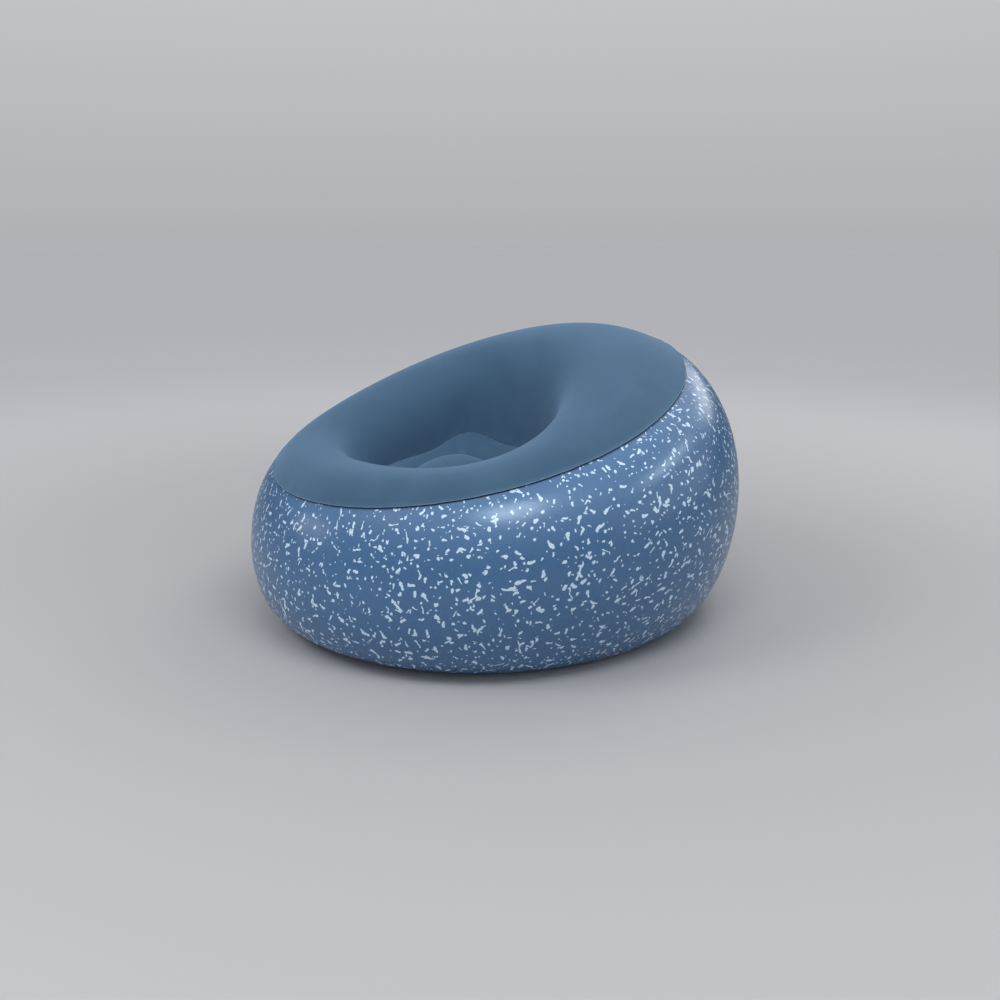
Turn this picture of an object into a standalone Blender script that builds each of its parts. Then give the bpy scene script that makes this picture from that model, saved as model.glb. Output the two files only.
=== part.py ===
"""Round inflatable lounge chair, built from its welded vinyl sheets and its air valve.

Metres, +Z up. The origin is on the floor under the middle of the chair. The
chair faces -Y, and left and right are the sitter's, so left is +X.
"""
import math

import bmesh
import bpy
import numpy as np
from mathutils import Vector
from mathutils.bvhtree import BVHTree

OBJECT_NAME = "inflatable_chair"

# Sheets and fits
VINYL = 0.0004
FLOCKED_VINYL = 0.0006
GAP = 0.0003
WELD_WIDTH = 0.008

# Overall form
OVERALL_WIDTH = 1.12
OVERALL_HEIGHT = 0.64
BASE_SEAM_RADIUS = 0.425

# Rim seam between the side wall and the flocked top: a tilted ellipse whose sides dip
RIM_CENTRE_Y = -0.043
RIM_CENTRE_Z = 0.468
RIM_HALF_WIDTH = 0.44
RIM_HALF_LENGTH = 0.482
RIM_SADDLE = 0.011
RIM_TILT = math.radians(16.5)

# How far and how steeply the side wall swells under the rim seam
WALL_HEAD_FRONT = 0.122
WALL_HEAD_SIDE = 0.247
WALL_HEAD_BACK = 0.18
WALL_PITCH_FRONT = math.radians(56.2)
WALL_PITCH_SIDE = math.radians(21.3)
WALL_PITCH_BACK = math.radians(23.2)

# Crest of the roll round the seat well
CREST_CENTRE_Y = -0.058
CREST_HALF_WIDTH = 0.33
CREST_TAPER_SHARE = 0.21
CREST_HALF_LENGTH = 0.353
CREST_FRONT_HEIGHT = 0.398
CREST_SIDE_HEIGHT = 0.499
CREST_SHOULDER_HEIGHT = 0.605
ROLL_PITCH_FRONT = math.radians(61.5)
ROLL_PITCH_SIDE = math.radians(39.5)
ROLL_PITCH_BACK = math.radians(20.8)
ROLL_START_SHARE = 0.381
ROLL_CREST_SHARE = 0.411
WELL_CREST_FRONT_SHARE = 0.625
WELL_CREST_SIDE_SHARE = 0.462
WELL_CREST_BACK_SHARE = 0.679
WELL_FOOT_FRONT_SHARE = 0.32
WELL_FOOT_SIDE_SHARE = 0.227
WELL_FOOT_BACK_SHARE = 0.301
WELL_FOOT_LEAN = math.radians(7.4)

# Seat floor: a dome inside a square of straight welds, with raised corners
SEAT_CENTRE_Y = -0.110
SEAT_RADIUS = 0.223
SEAT_SEAM_HEIGHT = 0.319
SEAT_SEAM_SLOPE_RISE = 0.033
SEAT_SEAM_BACK_RISE = 0.038
SEAT_SEAM_FRONT_RISE = 0.018
SEAT_SEAM_PEAK_POWER = 1.8
WELD_SQUARE_HALF = 0.112
WELD_HALF_TURN = math.radians(30)
WELD_HEIGHT = 0.272
DOME_RISE = 0.095
CORNER_BACK_RISE = 0.080
CORNER_FRONT_RISE = 0.035
SEAT_RING_BULGE = 0.018

# Webs that hold the seat floor down to the base sheet
WEB_FLANGE_WIDTH = 0.008
WEB_HOLE_RADIUS = 0.016
WEB_HOLE_ROWS = 3

# Air valve, low on the back
VALVE_HEIGHT = 0.088
COLLAR_BORE_RADIUS = 0.0185
COLLAR_WALL = 0.0035
COLLAR_DEPTH = 0.010
COLLAR_RIM_RADIUS = 0.025
COLLAR_RIM_THICKNESS = 0.0015
FLANGE_RADIUS = 0.034
FLANGE_THICKNESS = 0.0012
SEAL_THICKNESS = 0.0009
INSERT_SEAL_WIDTH = 0.0025
CAP_SEAL_WIDTH = 0.0018
INSERT_RIM_RADIUS = 0.024
INSERT_RIM_THICKNESS = 0.0016
INSERT_WALL = 0.002
INSERT_LENGTH = 0.0123
SPOUT_BORE_RADIUS = 0.011
SPOUT_WALL = 0.0016
SPOKE_WIDTH = 0.0016
SPOKE_THICKNESS = 0.0015
FLAP_THICKNESS = 0.0008
FLAP_OVERLAP = 0.0014
HINGE_OFFSET = 0.0144
HINGE_WIDTH = 0.0084
HINGE_BEAD_RADIUS = 0.0009
HINGE_PIN_RADIUS = 0.0005
FLAP_NECK_LENGTH = 0.0072
EAR_THICKNESS = 0.0016
EAR_DEPTH = 0.0034
EAR_ROOT = 0.0026
EAR_OVERHANG = 0.0013
CAP_RADIUS = 0.0145
CAP_HEAD_THICKNESS = 0.003
CAP_LIP_THICKNESS = 0.0006
CAP_GROOVE_DEPTH = 0.0014
PLUG_WALL = 0.0017
PLUG_LENGTH = 0.0075
GRIP_LENGTH = 0.023
GRIP_WIDTH = 0.005
GRIP_HEIGHT = 0.003
GRIP_EDGE = 0.001
STRAP_THICKNESS = 0.0006
STRAP_RING_WIDTH = 0.0032
STRAP_WIDTH = 0.004
EYE_OFFSET = 0.0206
EYE_WALL = 0.0017
POST_RADIUS = 0.0013
POST_HEAD_RADIUS = 0.0022
POST_HEAD_THICKNESS = 0.0008
CAP_LIFT = 0.0045
CUT_OVERRUN = 0.004
MOULDED_EDGE = 0.0005
NOTCH_COUNT = 20
NOTCH_RADIUS = 0.0016
NOTCH_DEPTH = 0.0008

# Facets
AROUND = 48
WALL_STRIPS = 10
ROLL_STRIPS = 10
SEAT_RING_STRIPS = 3
FINE_STEPS = 240
HALVINGS = 30
TURNED_STEPS = 40
SMALL_STEPS = 16
SMOOTH_ANGLE = math.radians(35)
FACE_WEIGHT = 90
MERGE = 0.00001

# Finishes: colour, roughness and metallic
FINISHES = {
    "flocked_blue": ((0.085, 0.165, 0.265), 0.95, 0.0),
    "printed_blue": ((0.085, 0.190, 0.360), 0.38, 0.0),
    "base_blue": ((0.040, 0.090, 0.180), 0.50, 0.0),
    "web_grey": ((0.300, 0.340, 0.380), 0.45, 0.0),
    "valve_soft_blue": ((0.075, 0.160, 0.290), 0.42, 0.0),
    "valve_hard_grey": ((0.240, 0.270, 0.300), 0.35, 0.0),
    "seal_clear_grey": ((0.450, 0.470, 0.480), 0.40, 0.0),
}


# Scene and object helpers

def clear_scene():
    """Removes every object that the file opened with."""
    for obj in list(bpy.data.objects):
        bpy.data.objects.remove(obj, do_unlink=True)


def new_collection(name):
    """A collection under the scene's own."""
    collection = bpy.data.collections.new(name)
    bpy.context.scene.collection.children.link(collection)
    return collection


def make_material(name):
    """A Principled material with the finish of that name."""
    colour, roughness, metallic = FINISHES[name]
    made = bpy.data.materials.new(name)
    made.use_nodes = True
    shader = made.node_tree.nodes["Principled BSDF"]
    shader.inputs["Base Color"].default_value = (*colour, 1.0)
    shader.inputs["Roughness"].default_value = roughness
    shader.inputs["Metallic"].default_value = metallic
    made.diffuse_color = (*colour, 1.0)
    return made


def finish_piece(obj, material):
    """Gives an object its material, smooth round sides and flat large faces."""
    obj.data.materials.clear()
    obj.data.materials.append(material)
    obj.data.shade_smooth()
    obj.data.set_sharp_from_angle(angle=SMOOTH_ANGLE)
    shading = obj.modifiers.new("shading", "WEIGHTED_NORMAL")
    shading.weight = FACE_WEIGHT
    return obj


def object_from(name, verts, faces, collection):
    """An object from a list of points and a list of faces."""
    mesh = bpy.data.meshes.new(name)
    mesh.from_pydata([tuple(map(float, p)) for p in verts], [], faces)
    mesh.validate()
    obj = bpy.data.objects.new(name, mesh)
    collection.objects.link(obj)
    return obj


def object_from_bmesh(name, bm, collection):
    """An object from a bmesh, which is freed."""
    mesh = bpy.data.meshes.new(name)
    bm.to_mesh(mesh)
    bm.free()
    obj = bpy.data.objects.new(name, mesh)
    collection.objects.link(obj)
    return obj


def solidify(obj, thickness, side):
    """Gives an open sheet its thickness: side is -1 behind its faces and 1 before."""
    shell = obj.modifiers.new("sheet", "SOLIDIFY")
    shell.thickness = thickness
    shell.offset = side
    shell.use_even_offset = True


def combine(obj, other, operation):
    """Joins another closed object to this one, or cuts it away."""
    join = obj.modifiers.new(operation.lower(), "BOOLEAN")
    join.operation = operation
    join.solver = "EXACT"
    join.object = other


def box(name, size, centre, collection):
    """A box of a size round a centre."""
    bm = bmesh.new()
    bmesh.ops.create_cube(bm, size=1)
    bmesh.ops.scale(bm, vec=Vector(size), verts=bm.verts)
    bmesh.ops.translate(bm, vec=Vector(centre), verts=bm.verts)
    return object_from_bmesh(name, bm, collection)


def rod(name, radius, low, high, collection, steps=SMALL_STEPS):
    """A solid cylinder on the local Z axis from low to high."""
    bm = bmesh.new()
    bmesh.ops.create_cone(bm, cap_ends=True, segments=steps, radius1=radius,
                          radius2=radius, depth=high - low)
    bmesh.ops.translate(bm, vec=Vector((0, 0, (low + high) / 2)), verts=bm.verts)
    return object_from_bmesh(name, bm, collection)


def chamfered(profile, corners):
    """A profile whose corners of those numbers are cut off at a slant."""
    made = []
    for number, point in enumerate(profile):
        if number not in corners:
            made.append(point)
            continue
        corner = Vector(point)
        for other in (profile[number - 1], profile[(number + 1) % len(profile)]):
            away = (Vector(other) - corner).normalized()
            made.append(tuple(corner + away * MOULDED_EDGE))
    return made


def turned(name, profile, collection, closed, steps=TURNED_STEPS):
    """A turned piece from a profile of radius and height, top to bottom outside."""
    edges = [(i, i + 1) for i in range(len(profile) - 1)]
    if closed:
        edges.append((len(profile) - 1, 0))
    mesh = bpy.data.meshes.new(name)
    mesh.from_pydata([(r, 0, z) for r, z in profile], edges, [])
    obj = bpy.data.objects.new(name, mesh)
    collection.objects.link(obj)
    turn = obj.modifiers.new("turn", "SCREW")
    turn.steps = steps
    turn.render_steps = steps
    turn.use_merge_vertices = True
    turn.merge_threshold = MERGE
    return obj


def ring_of_rods(name, radius, count, distance, low, high, collection):
    """Upright cylinders evenly round the local Z axis, in one mesh."""
    bm = bmesh.new()
    for step in range(count):
        angle = 2 * math.pi * (step + 1 / 2) / count
        made = bmesh.ops.create_cone(bm, cap_ends=True, segments=SMALL_STEPS, radius1=radius,
                                     radius2=radius, depth=high - low)
        place = Vector((distance * math.cos(angle), distance * math.sin(angle), (low + high) / 2))
        bmesh.ops.translate(bm, vec=place, verts=made["verts"])
    return object_from_bmesh(name, bm, collection)


def helper(obj, parent=None):
    """Marks a cutter or a shape that is joined into another piece."""
    obj.hide_render = True
    obj.display_type = "WIRE"
    obj.parent = parent
    return obj


# Forms of the inflated skins

def round_blend(theta, front, side, back):
    """A value that passes through side on its way from front to back."""
    s = np.sin(theta)
    return side + (back - front) / 2 * s + ((back + front) / 2 - side) * s * s


def crest_height(theta):
    """Height of the crest, through front, side, shoulder and back.

    The shoulder is half way from side to back. A cubic term in the sine of the
    angle, which is zero at the front, the sides and the back, brings it there.
    """
    top = OVERALL_HEIGHT - FLOCKED_VINYL
    s = np.sin(theta)
    half_way = math.sin(math.pi / 4)
    plain = round_blend(np.array([math.pi / 4]), CREST_FRONT_HEIGHT, CREST_SIDE_HEIGHT, top)[0]
    bend = (CREST_SHOULDER_HEIGHT - plain) / (half_way * (1 - half_way**2))
    return round_blend(theta, CREST_FRONT_HEIGHT, CREST_SIDE_HEIGHT, top) + bend * s * (1 - s * s)


def bezier(p0, p1, p2, p3, steps=FINE_STEPS):
    """Points of a cubic curve for each place round the chair."""
    t = np.linspace(0, 1, steps)[:, None, None]
    return p0 * (1 - t)**3 + 3 * p1 * t * (1 - t)**2 + 3 * p2 * t**2 * (1 - t) + p3 * t**3


def outward(theta):
    """Level unit vectors that point away from the chair's middle."""
    return np.stack([np.cos(theta), np.sin(theta), 0 * theta], 1)


def rim_points(theta):
    """Points of the tilted rim seam, its sides lower than its front and back."""
    reach = RIM_HALF_LENGTH * np.sin(theta)
    return np.stack([RIM_HALF_WIDTH * np.cos(theta),
                     RIM_CENTRE_Y + reach * math.cos(RIM_TILT),
                     RIM_CENTRE_Z + reach * math.sin(RIM_TILT) - RIM_SADDLE * np.cos(2 * theta)], 1)


def wall_curve(theta):
    """Outer face of the side wall, from the base seam up to the rim seam.

    It leaves the floor level, and its foot handle is as long as the overall
    width asks for, found by halving.
    """
    away = outward(theta)
    up = np.array([0.0, 0.0, 1.0])
    foot = BASE_SEAM_RADIUS * away + (VINYL + GAP) * up
    rim = rim_points(theta)
    head = round_blend(theta, WALL_HEAD_FRONT, WALL_HEAD_SIDE, WALL_HEAD_BACK)[:, None]
    pitch = round_blend(theta, WALL_PITCH_FRONT, WALL_PITCH_SIDE, WALL_PITCH_BACK)[:, None]
    head_point = rim + head * (away * np.cos(pitch) - up * np.sin(pitch))
    low = np.zeros(len(theta))
    high = np.full(len(theta), OVERALL_WIDTH)
    for _ in range(HALVINGS):
        reach = (low + high) / 2
        curve = bezier(foot, foot + reach[:, None] * away, head_point, rim)
        too_wide = np.hypot(curve[..., 0], curve[..., 1]).max(0) > OVERALL_WIDTH / 2
        high = np.where(too_wide, reach, high)
        low = np.where(too_wide, low, reach)
    return bezier(foot, foot + low[:, None] * away, head_point, rim)


def lengths_along(curve):
    """Distance along each curve up to each of its points."""
    steps = np.linalg.norm(np.diff(curve, axis=0), axis=2)
    return np.concatenate([np.zeros((1, curve.shape[1])), np.cumsum(steps, axis=0)])


def rows_at(curve, distances):
    """Points at given distances along each curve."""
    along = lengths_along(curve)
    rows = np.empty((len(distances), curve.shape[1], 3))
    for j in range(curve.shape[1]):
        for axis in range(3):
            rows[:, j, axis] = np.interp(distances[:, j], along[:, j], curve[:, j, axis])
    return rows


def wall_rows(theta):
    """Rows of the side wall, the last strip as wide as the weld under the top."""
    curve = wall_curve(theta)
    total = lengths_along(curve)[-1]
    even = np.linspace(0, 1, WALL_STRIPS)[:, None] * (total - WELD_WIDTH)
    return rows_at(curve, np.concatenate([even, total[None]]))


def weld_normals(rows):
    """Outward unit normals of the last two rows of the wall."""
    round_way = np.roll(rows[-2:], -1, axis=1) - np.roll(rows[-2:], 1, axis=1)
    up_way = np.repeat((rows[-1] - rows[-2])[None], 2, axis=0)
    normal = np.cross(round_way, up_way)
    return normal / np.linalg.norm(normal, axis=2, keepdims=True)


def seat_seam(theta):
    """Points of the seam round the seat floor: it slopes up to the back and peaks at four corners."""
    corner = ((1 - np.cos(4 * theta)) / 2)**SEAT_SEAM_PEAK_POWER
    back_share = (1 + np.sin(theta) / math.sin(math.pi / 4)) / 2
    peak = SEAT_SEAM_FRONT_RISE + (SEAT_SEAM_BACK_RISE - SEAT_SEAM_FRONT_RISE) * back_share
    return np.stack([SEAT_RADIUS * np.cos(theta),
                     SEAT_CENTRE_Y + SEAT_RADIUS * np.sin(theta),
                     SEAT_SEAM_HEIGHT + SEAT_SEAM_SLOPE_RISE * np.sin(theta) + peak * corner], 1)


def roll_curve(theta, start):
    """Under face of the flocked top, from the rim over the crest to the seat seam.

    The crest is an oval, narrower at the back.
    """
    away = outward(theta)
    up = np.array([0.0, 0.0, 1.0])
    taper = 1 - CREST_TAPER_SHARE * np.sin(theta)
    crest = np.stack([CREST_HALF_WIDTH * np.cos(theta) * taper,
                      CREST_CENTRE_Y + CREST_HALF_LENGTH * np.sin(theta),
                      crest_height(theta)], 1)
    seam = seat_seam(theta)
    rise = np.linalg.norm(crest - start, axis=1)[:, None]
    fall = np.linalg.norm(seam - crest, axis=1)[:, None]
    pitch = round_blend(theta, ROLL_PITCH_FRONT, ROLL_PITCH_SIDE, ROLL_PITCH_BACK)[:, None]
    crest_share = round_blend(theta, WELL_CREST_FRONT_SHARE, WELL_CREST_SIDE_SHARE,
                              WELL_CREST_BACK_SHARE)[:, None]
    foot_share = round_blend(theta, WELL_FOOT_FRONT_SHARE, WELL_FOOT_SIDE_SHARE,
                             WELL_FOOT_BACK_SHARE)[:, None]
    lean = up * math.cos(WELL_FOOT_LEAN) + away * math.sin(WELL_FOOT_LEAN)
    outer = bezier(start, start + ROLL_START_SHARE * rise * (up * np.sin(pitch) - away * np.cos(pitch)),
                   crest + ROLL_CREST_SHARE * rise * away, crest)
    inner = bezier(crest, crest - crest_share * fall * away, seam + foot_share * fall * lean, seam)
    return np.concatenate([outer, inner[1:]])


def top_rows(theta):
    """Rows of the flocked top: weld lap, roll, well wall and lower weld lip."""
    wall = wall_rows(theta)
    lap = wall[-2:] + GAP * weld_normals(wall)
    curve = roll_curve(theta, lap[1])
    total = lengths_along(curve)[-1]
    even = np.linspace(0, 1, ROLL_STRIPS + 1)[1:, None] * total
    roll = rows_at(curve, even)
    lip = roll[-1] - np.array([0.0, 0.0, WELD_WIDTH])
    return np.concatenate([lap, roll, lip[None]])


def bridge(loop_a, loop_b):
    """Faces between two closed loops of point numbers."""
    count = len(loop_a)
    return [(loop_a[j], loop_a[(j + 1) % count], loop_b[(j + 1) % count], loop_b[j])
            for j in range(count)]


def ring_sheet(name, rows, collection):
    """An open sheet through rows of points that close round the chair."""
    row_count, count = rows.shape[:2]
    loops = np.arange(row_count * count).reshape(row_count, count).tolist()
    faces = [face for i in range(row_count - 1) for face in bridge(loops[i], loops[i + 1])]
    return object_from(name, rows.reshape(-1, 3), faces, collection)


def angles():
    """Evenly spaced angles round the chair."""
    return np.arange(AROUND) * 2 * math.pi / AROUND


# Seat floor

def corner_step(share):
    """Rises from the end of a straight weld to the corner of the weld square."""
    start = math.tan(WELD_HALF_TURN)
    t = np.clip((share - start) / (1 - start), 0, 1)
    return t * t * (3 - 2 * t)


def seat_height(x_share, y_share):
    """Height of the seat floor inside the weld square, by shares of its half side."""
    dome = np.sqrt(np.clip((1 - x_share**2) * (1 - y_share**2), 0, None))
    corner = corner_step(np.abs(x_share)) * corner_step(np.abs(y_share))
    peak = (CORNER_BACK_RISE + CORNER_FRONT_RISE + (CORNER_BACK_RISE - CORNER_FRONT_RISE) * y_share) / 2
    return WELD_HEIGHT + DOME_RISE * dome + peak * corner


def seat_ring_rows(theta):
    """Rows from the weld square out to the seam, and the lip turned down there."""
    square = outward(theta) / np.abs(outward(theta)).max(1, keepdims=True)
    centre = np.array([0.0, SEAT_CENTRE_Y, 0.0])
    edge = WELD_SQUARE_HALF + WEB_FLANGE_WIDTH / 2
    inner = centre + square * edge
    inner[:, 2] = seat_height(square[:, 0], square[:, 1])
    seam = seat_seam(theta)
    seam_radius = SEAT_RADIUS - FLOCKED_VINYL - GAP
    outer = centre + seam_radius * outward(theta)
    outer[:, 2] = seam[:, 2]
    rows = [inner]
    for i in range(1, SEAT_RING_STRIPS + 1):
        share = i / SEAT_RING_STRIPS
        row = inner * (1 - share) + outer * share
        row[:, 2] += SEAT_RING_BULGE * math.sin(math.pi * share)
        rows.append(row)
    rows.append(outer - np.array([0.0, 0.0, WELD_WIDTH]))
    return np.array(rows)


def seat_points():
    """Points and faces of the seat floor: a square grid and rings round it."""
    side = AROUND // 4
    shares = np.tan(np.linspace(-math.pi / 4, math.pi / 4, side + 1))
    half = WELD_SQUARE_HALF - WEB_FLANGE_WIDTH / 2
    x_share, y_share = np.meshgrid(shares, shares, indexing="ij")
    grid = np.stack([half * x_share, SEAT_CENTRE_Y + half * y_share,
                     seat_height(x_share, y_share)], 2)
    number = np.arange((side + 1)**2).reshape(side + 1, side + 1)
    faces = [(int(number[i, j]), int(number[i + 1, j]), int(number[i + 1, j + 1]), int(number[i, j + 1]))
             for i in range(side) for j in range(side)]
    theta = angles()
    square = outward(theta) / np.abs(outward(theta)).max(1, keepdims=True)
    border = [int(number[np.abs(shares - sx).argmin(), np.abs(shares - sy).argmin()])
              for sx, sy, _ in square]
    rows = seat_ring_rows(theta)
    first = (side + 1)**2
    loops = [border] + [list(range(first + i * AROUND, first + (i + 1) * AROUND))
                        for i in range(len(rows))]
    for low, high in zip(loops, loops[1:]):
        faces += bridge(high, low)
    return np.concatenate([grid.reshape(-1, 3), rows.reshape(-1, 3)]), faces


# Sheets of the chair

def build_side_wall(parts):
    """The printed side wall. The valve's hole is cut when the valve's base is made."""
    obj = ring_sheet("side_wall", wall_rows(angles()), parts)
    solidify(obj, VINYL, -1)
    return obj


def build_top_panel(parts):
    """The flocked top: one sheet from the rim over the roll and down the well."""
    obj = ring_sheet("top_panel", top_rows(angles()), parts)
    solidify(obj, FLOCKED_VINYL, 1)
    return obj


def build_seat_panel(parts):
    """The flocked seat floor, welded to the foot of the well wall."""
    points, faces = seat_points()
    obj = object_from("seat_panel", points, faces, parts)
    solidify(obj, FLOCKED_VINYL, -1)
    return obj


def build_base_sheet(parts):
    """The flat sheet that the chair rests on, lapped under the wall's foot."""
    return rod("base_sheet", BASE_SEAM_RADIUS + WELD_WIDTH, 0, VINYL, parts, steps=AROUND)


# Webs under the seat floor

def build_webs(parts, cutters):
    """Four perforated I-shaped webs, one under each straight weld."""
    length = 2 * WELD_SQUARE_HALF * math.tan(WELD_HALF_TURN)
    low = VINYL + GAP
    high = WELD_HEIGHT - FLOCKED_VINYL - GAP
    sheet = box("web_pattern", (length, VINYL, high - low), (0, 0, (low + high) / 2), cutters)
    for place in (low + VINYL / 2, high - VINYL / 2):
        flange = box("web_flange", (length, WEB_FLANGE_WIDTH, VINYL), (0, 0, place), cutters)
        combine(sheet, helper(flange), "UNION")
    for row in range(WEB_HOLE_ROWS):
        height = low + (high - low) * (row + 1) / (WEB_HOLE_ROWS + 1)
        hole = rod("web_hole", WEB_HOLE_RADIUS, -CUT_OVERRUN, CUT_OVERRUN, cutters)
        hole.rotation_euler = (math.pi / 2, 0, 0)
        hole.location = (0, 0, height)
        combine(sheet, helper(hole), "DIFFERENCE")
    bpy.context.view_layer.update()
    mesh = bpy.data.meshes.new_from_object(
        sheet.evaluated_get(bpy.context.evaluated_depsgraph_get()))
    mesh.name = "seat_web"
    helper(sheet)
    places = {
        "seat_web_front": ((0, SEAT_CENTRE_Y - WELD_SQUARE_HALF, 0), 0),
        "seat_web_back": ((0, SEAT_CENTRE_Y + WELD_SQUARE_HALF, 0), 0),
        "seat_web_left": ((WELD_SQUARE_HALF, SEAT_CENTRE_Y, 0), math.pi / 2),
        "seat_web_right": ((-WELD_SQUARE_HALF, SEAT_CENTRE_Y, 0), math.pi / 2),
    }
    webs = []
    for name, (place, turn) in places.items():
        web = bpy.data.objects.new(name, mesh)
        web.location = place
        web.rotation_euler = (0, 0, turn)
        parts.objects.link(web)
        webs.append(web)
    return webs


# Valve, in its own frame: local Z points out of the wall and local -Y points up

COLLAR_TOP = GAP + COLLAR_RIM_THICKNESS
INSERT_LOW = COLLAR_TOP + 2 * GAP + SEAL_THICKNESS
INSERT_TOP = INSERT_LOW + INSERT_RIM_THICKNESS
INSERT_FOOT = INSERT_LOW - INSERT_LENGTH
CAP_LOW = INSERT_TOP + 2 * GAP + SEAL_THICKNESS
GROOVE_LOW = CAP_LOW + CAP_LIP_THICKNESS
GROOVE_HIGH = GROOVE_LOW + STRAP_THICKNESS + 2 * GAP
CAP_TOP = CAP_LOW + CAP_HEAD_THICKNESS
COLLAR_RADIUS = COLLAR_BORE_RADIUS + COLLAR_WALL
NECK_RADIUS = COLLAR_BORE_RADIUS - GAP
PLUG_RADIUS = SPOUT_BORE_RADIUS - GAP
GROOVE_RADIUS = CAP_RADIUS - CAP_GROOVE_DEPTH
HINGE_HEIGHT = INSERT_FOOT - GAP - FLAP_THICKNESS / 2


def build_valve_frame(cutters):
    """An empty on the wall's outer face, low on the back, square to the wall."""
    curve = wall_curve(np.array([math.pi / 2]))[:, 0]
    y = np.interp(VALVE_HEIGHT, curve[:, 2], curve[:, 1])
    slope = np.gradient(curve[:, 1], curve[:, 2] + MERGE * np.arange(len(curve)))
    tilt = math.atan(np.interp(VALVE_HEIGHT, curve[:, 2], slope))
    frame = bpy.data.objects.new("valve_frame", None)
    frame.location = (0, y, VALVE_HEIGHT)
    frame.rotation_euler = (-math.pi / 2 - tilt, 0, 0)
    cutters.objects.link(frame)
    bpy.context.view_layer.update()
    return frame


def flange_sheet(wall, frame, cutters):
    """A ring pressed against the inner face of the wall, found by looking outwards."""
    tree = BVHTree.FromObject(wall, bpy.context.evaluated_depsgraph_get())
    to_world = frame.matrix_world
    to_local = to_world.inverted()
    look = (to_world.to_3x3() @ Vector((0, 0, 1))).normalized()
    points = []
    radii = np.linspace(COLLAR_RADIUS - COLLAR_WALL / 2, FLANGE_RADIUS, SEAT_RING_STRIPS + 1)
    for radius in radii:
        for step in range(TURNED_STEPS):
            angle = 2 * math.pi * step / TURNED_STEPS
            start = Vector((radius * math.cos(angle), radius * math.sin(angle), -FLANGE_RADIUS))
            hit = tree.ray_cast(to_world @ start, look)[0]
            points.append(to_local @ (hit - look * GAP))
    rows = np.array(points).reshape(len(radii), TURNED_STEPS, 3)
    flange = ring_sheet("valve_flange", rows[::-1], cutters)
    solidify(flange, FLANGE_THICKNESS, -1)
    return flange


def build_valve_base(parts, cutters, frame, wall):
    """The soft collar with its outer rim, and the flange welded inside the wall."""
    profile = [(COLLAR_BORE_RADIUS, COLLAR_TOP), (COLLAR_RIM_RADIUS, COLLAR_TOP),
               (COLLAR_RIM_RADIUS, GAP), (COLLAR_RADIUS, GAP),
               (COLLAR_RADIUS, -COLLAR_DEPTH), (COLLAR_BORE_RADIUS, -COLLAR_DEPTH)]
    obj = turned("valve_base", chamfered(profile, (0, 1, 4, 5)), parts, True)
    obj.parent = frame
    combine(obj, helper(flange_sheet(wall, frame, cutters), frame), "UNION")
    cutter = rod("valve_hole", COLLAR_RADIUS + GAP, -FLANGE_RADIUS, FLANGE_RADIUS, cutters,
                 steps=TURNED_STEPS)
    combine(wall, helper(cutter, frame), "DIFFERENCE")
    return obj


def seal_ring(name, inner, width, low, parts, frame):
    """A flat sealing ring."""
    high = low + SEAL_THICKNESS
    profile = [(inner, high), (inner + width, high), (inner + width, low), (inner, low)]
    obj = turned(name, profile, parts, True)
    obj.parent = frame
    return obj


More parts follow.
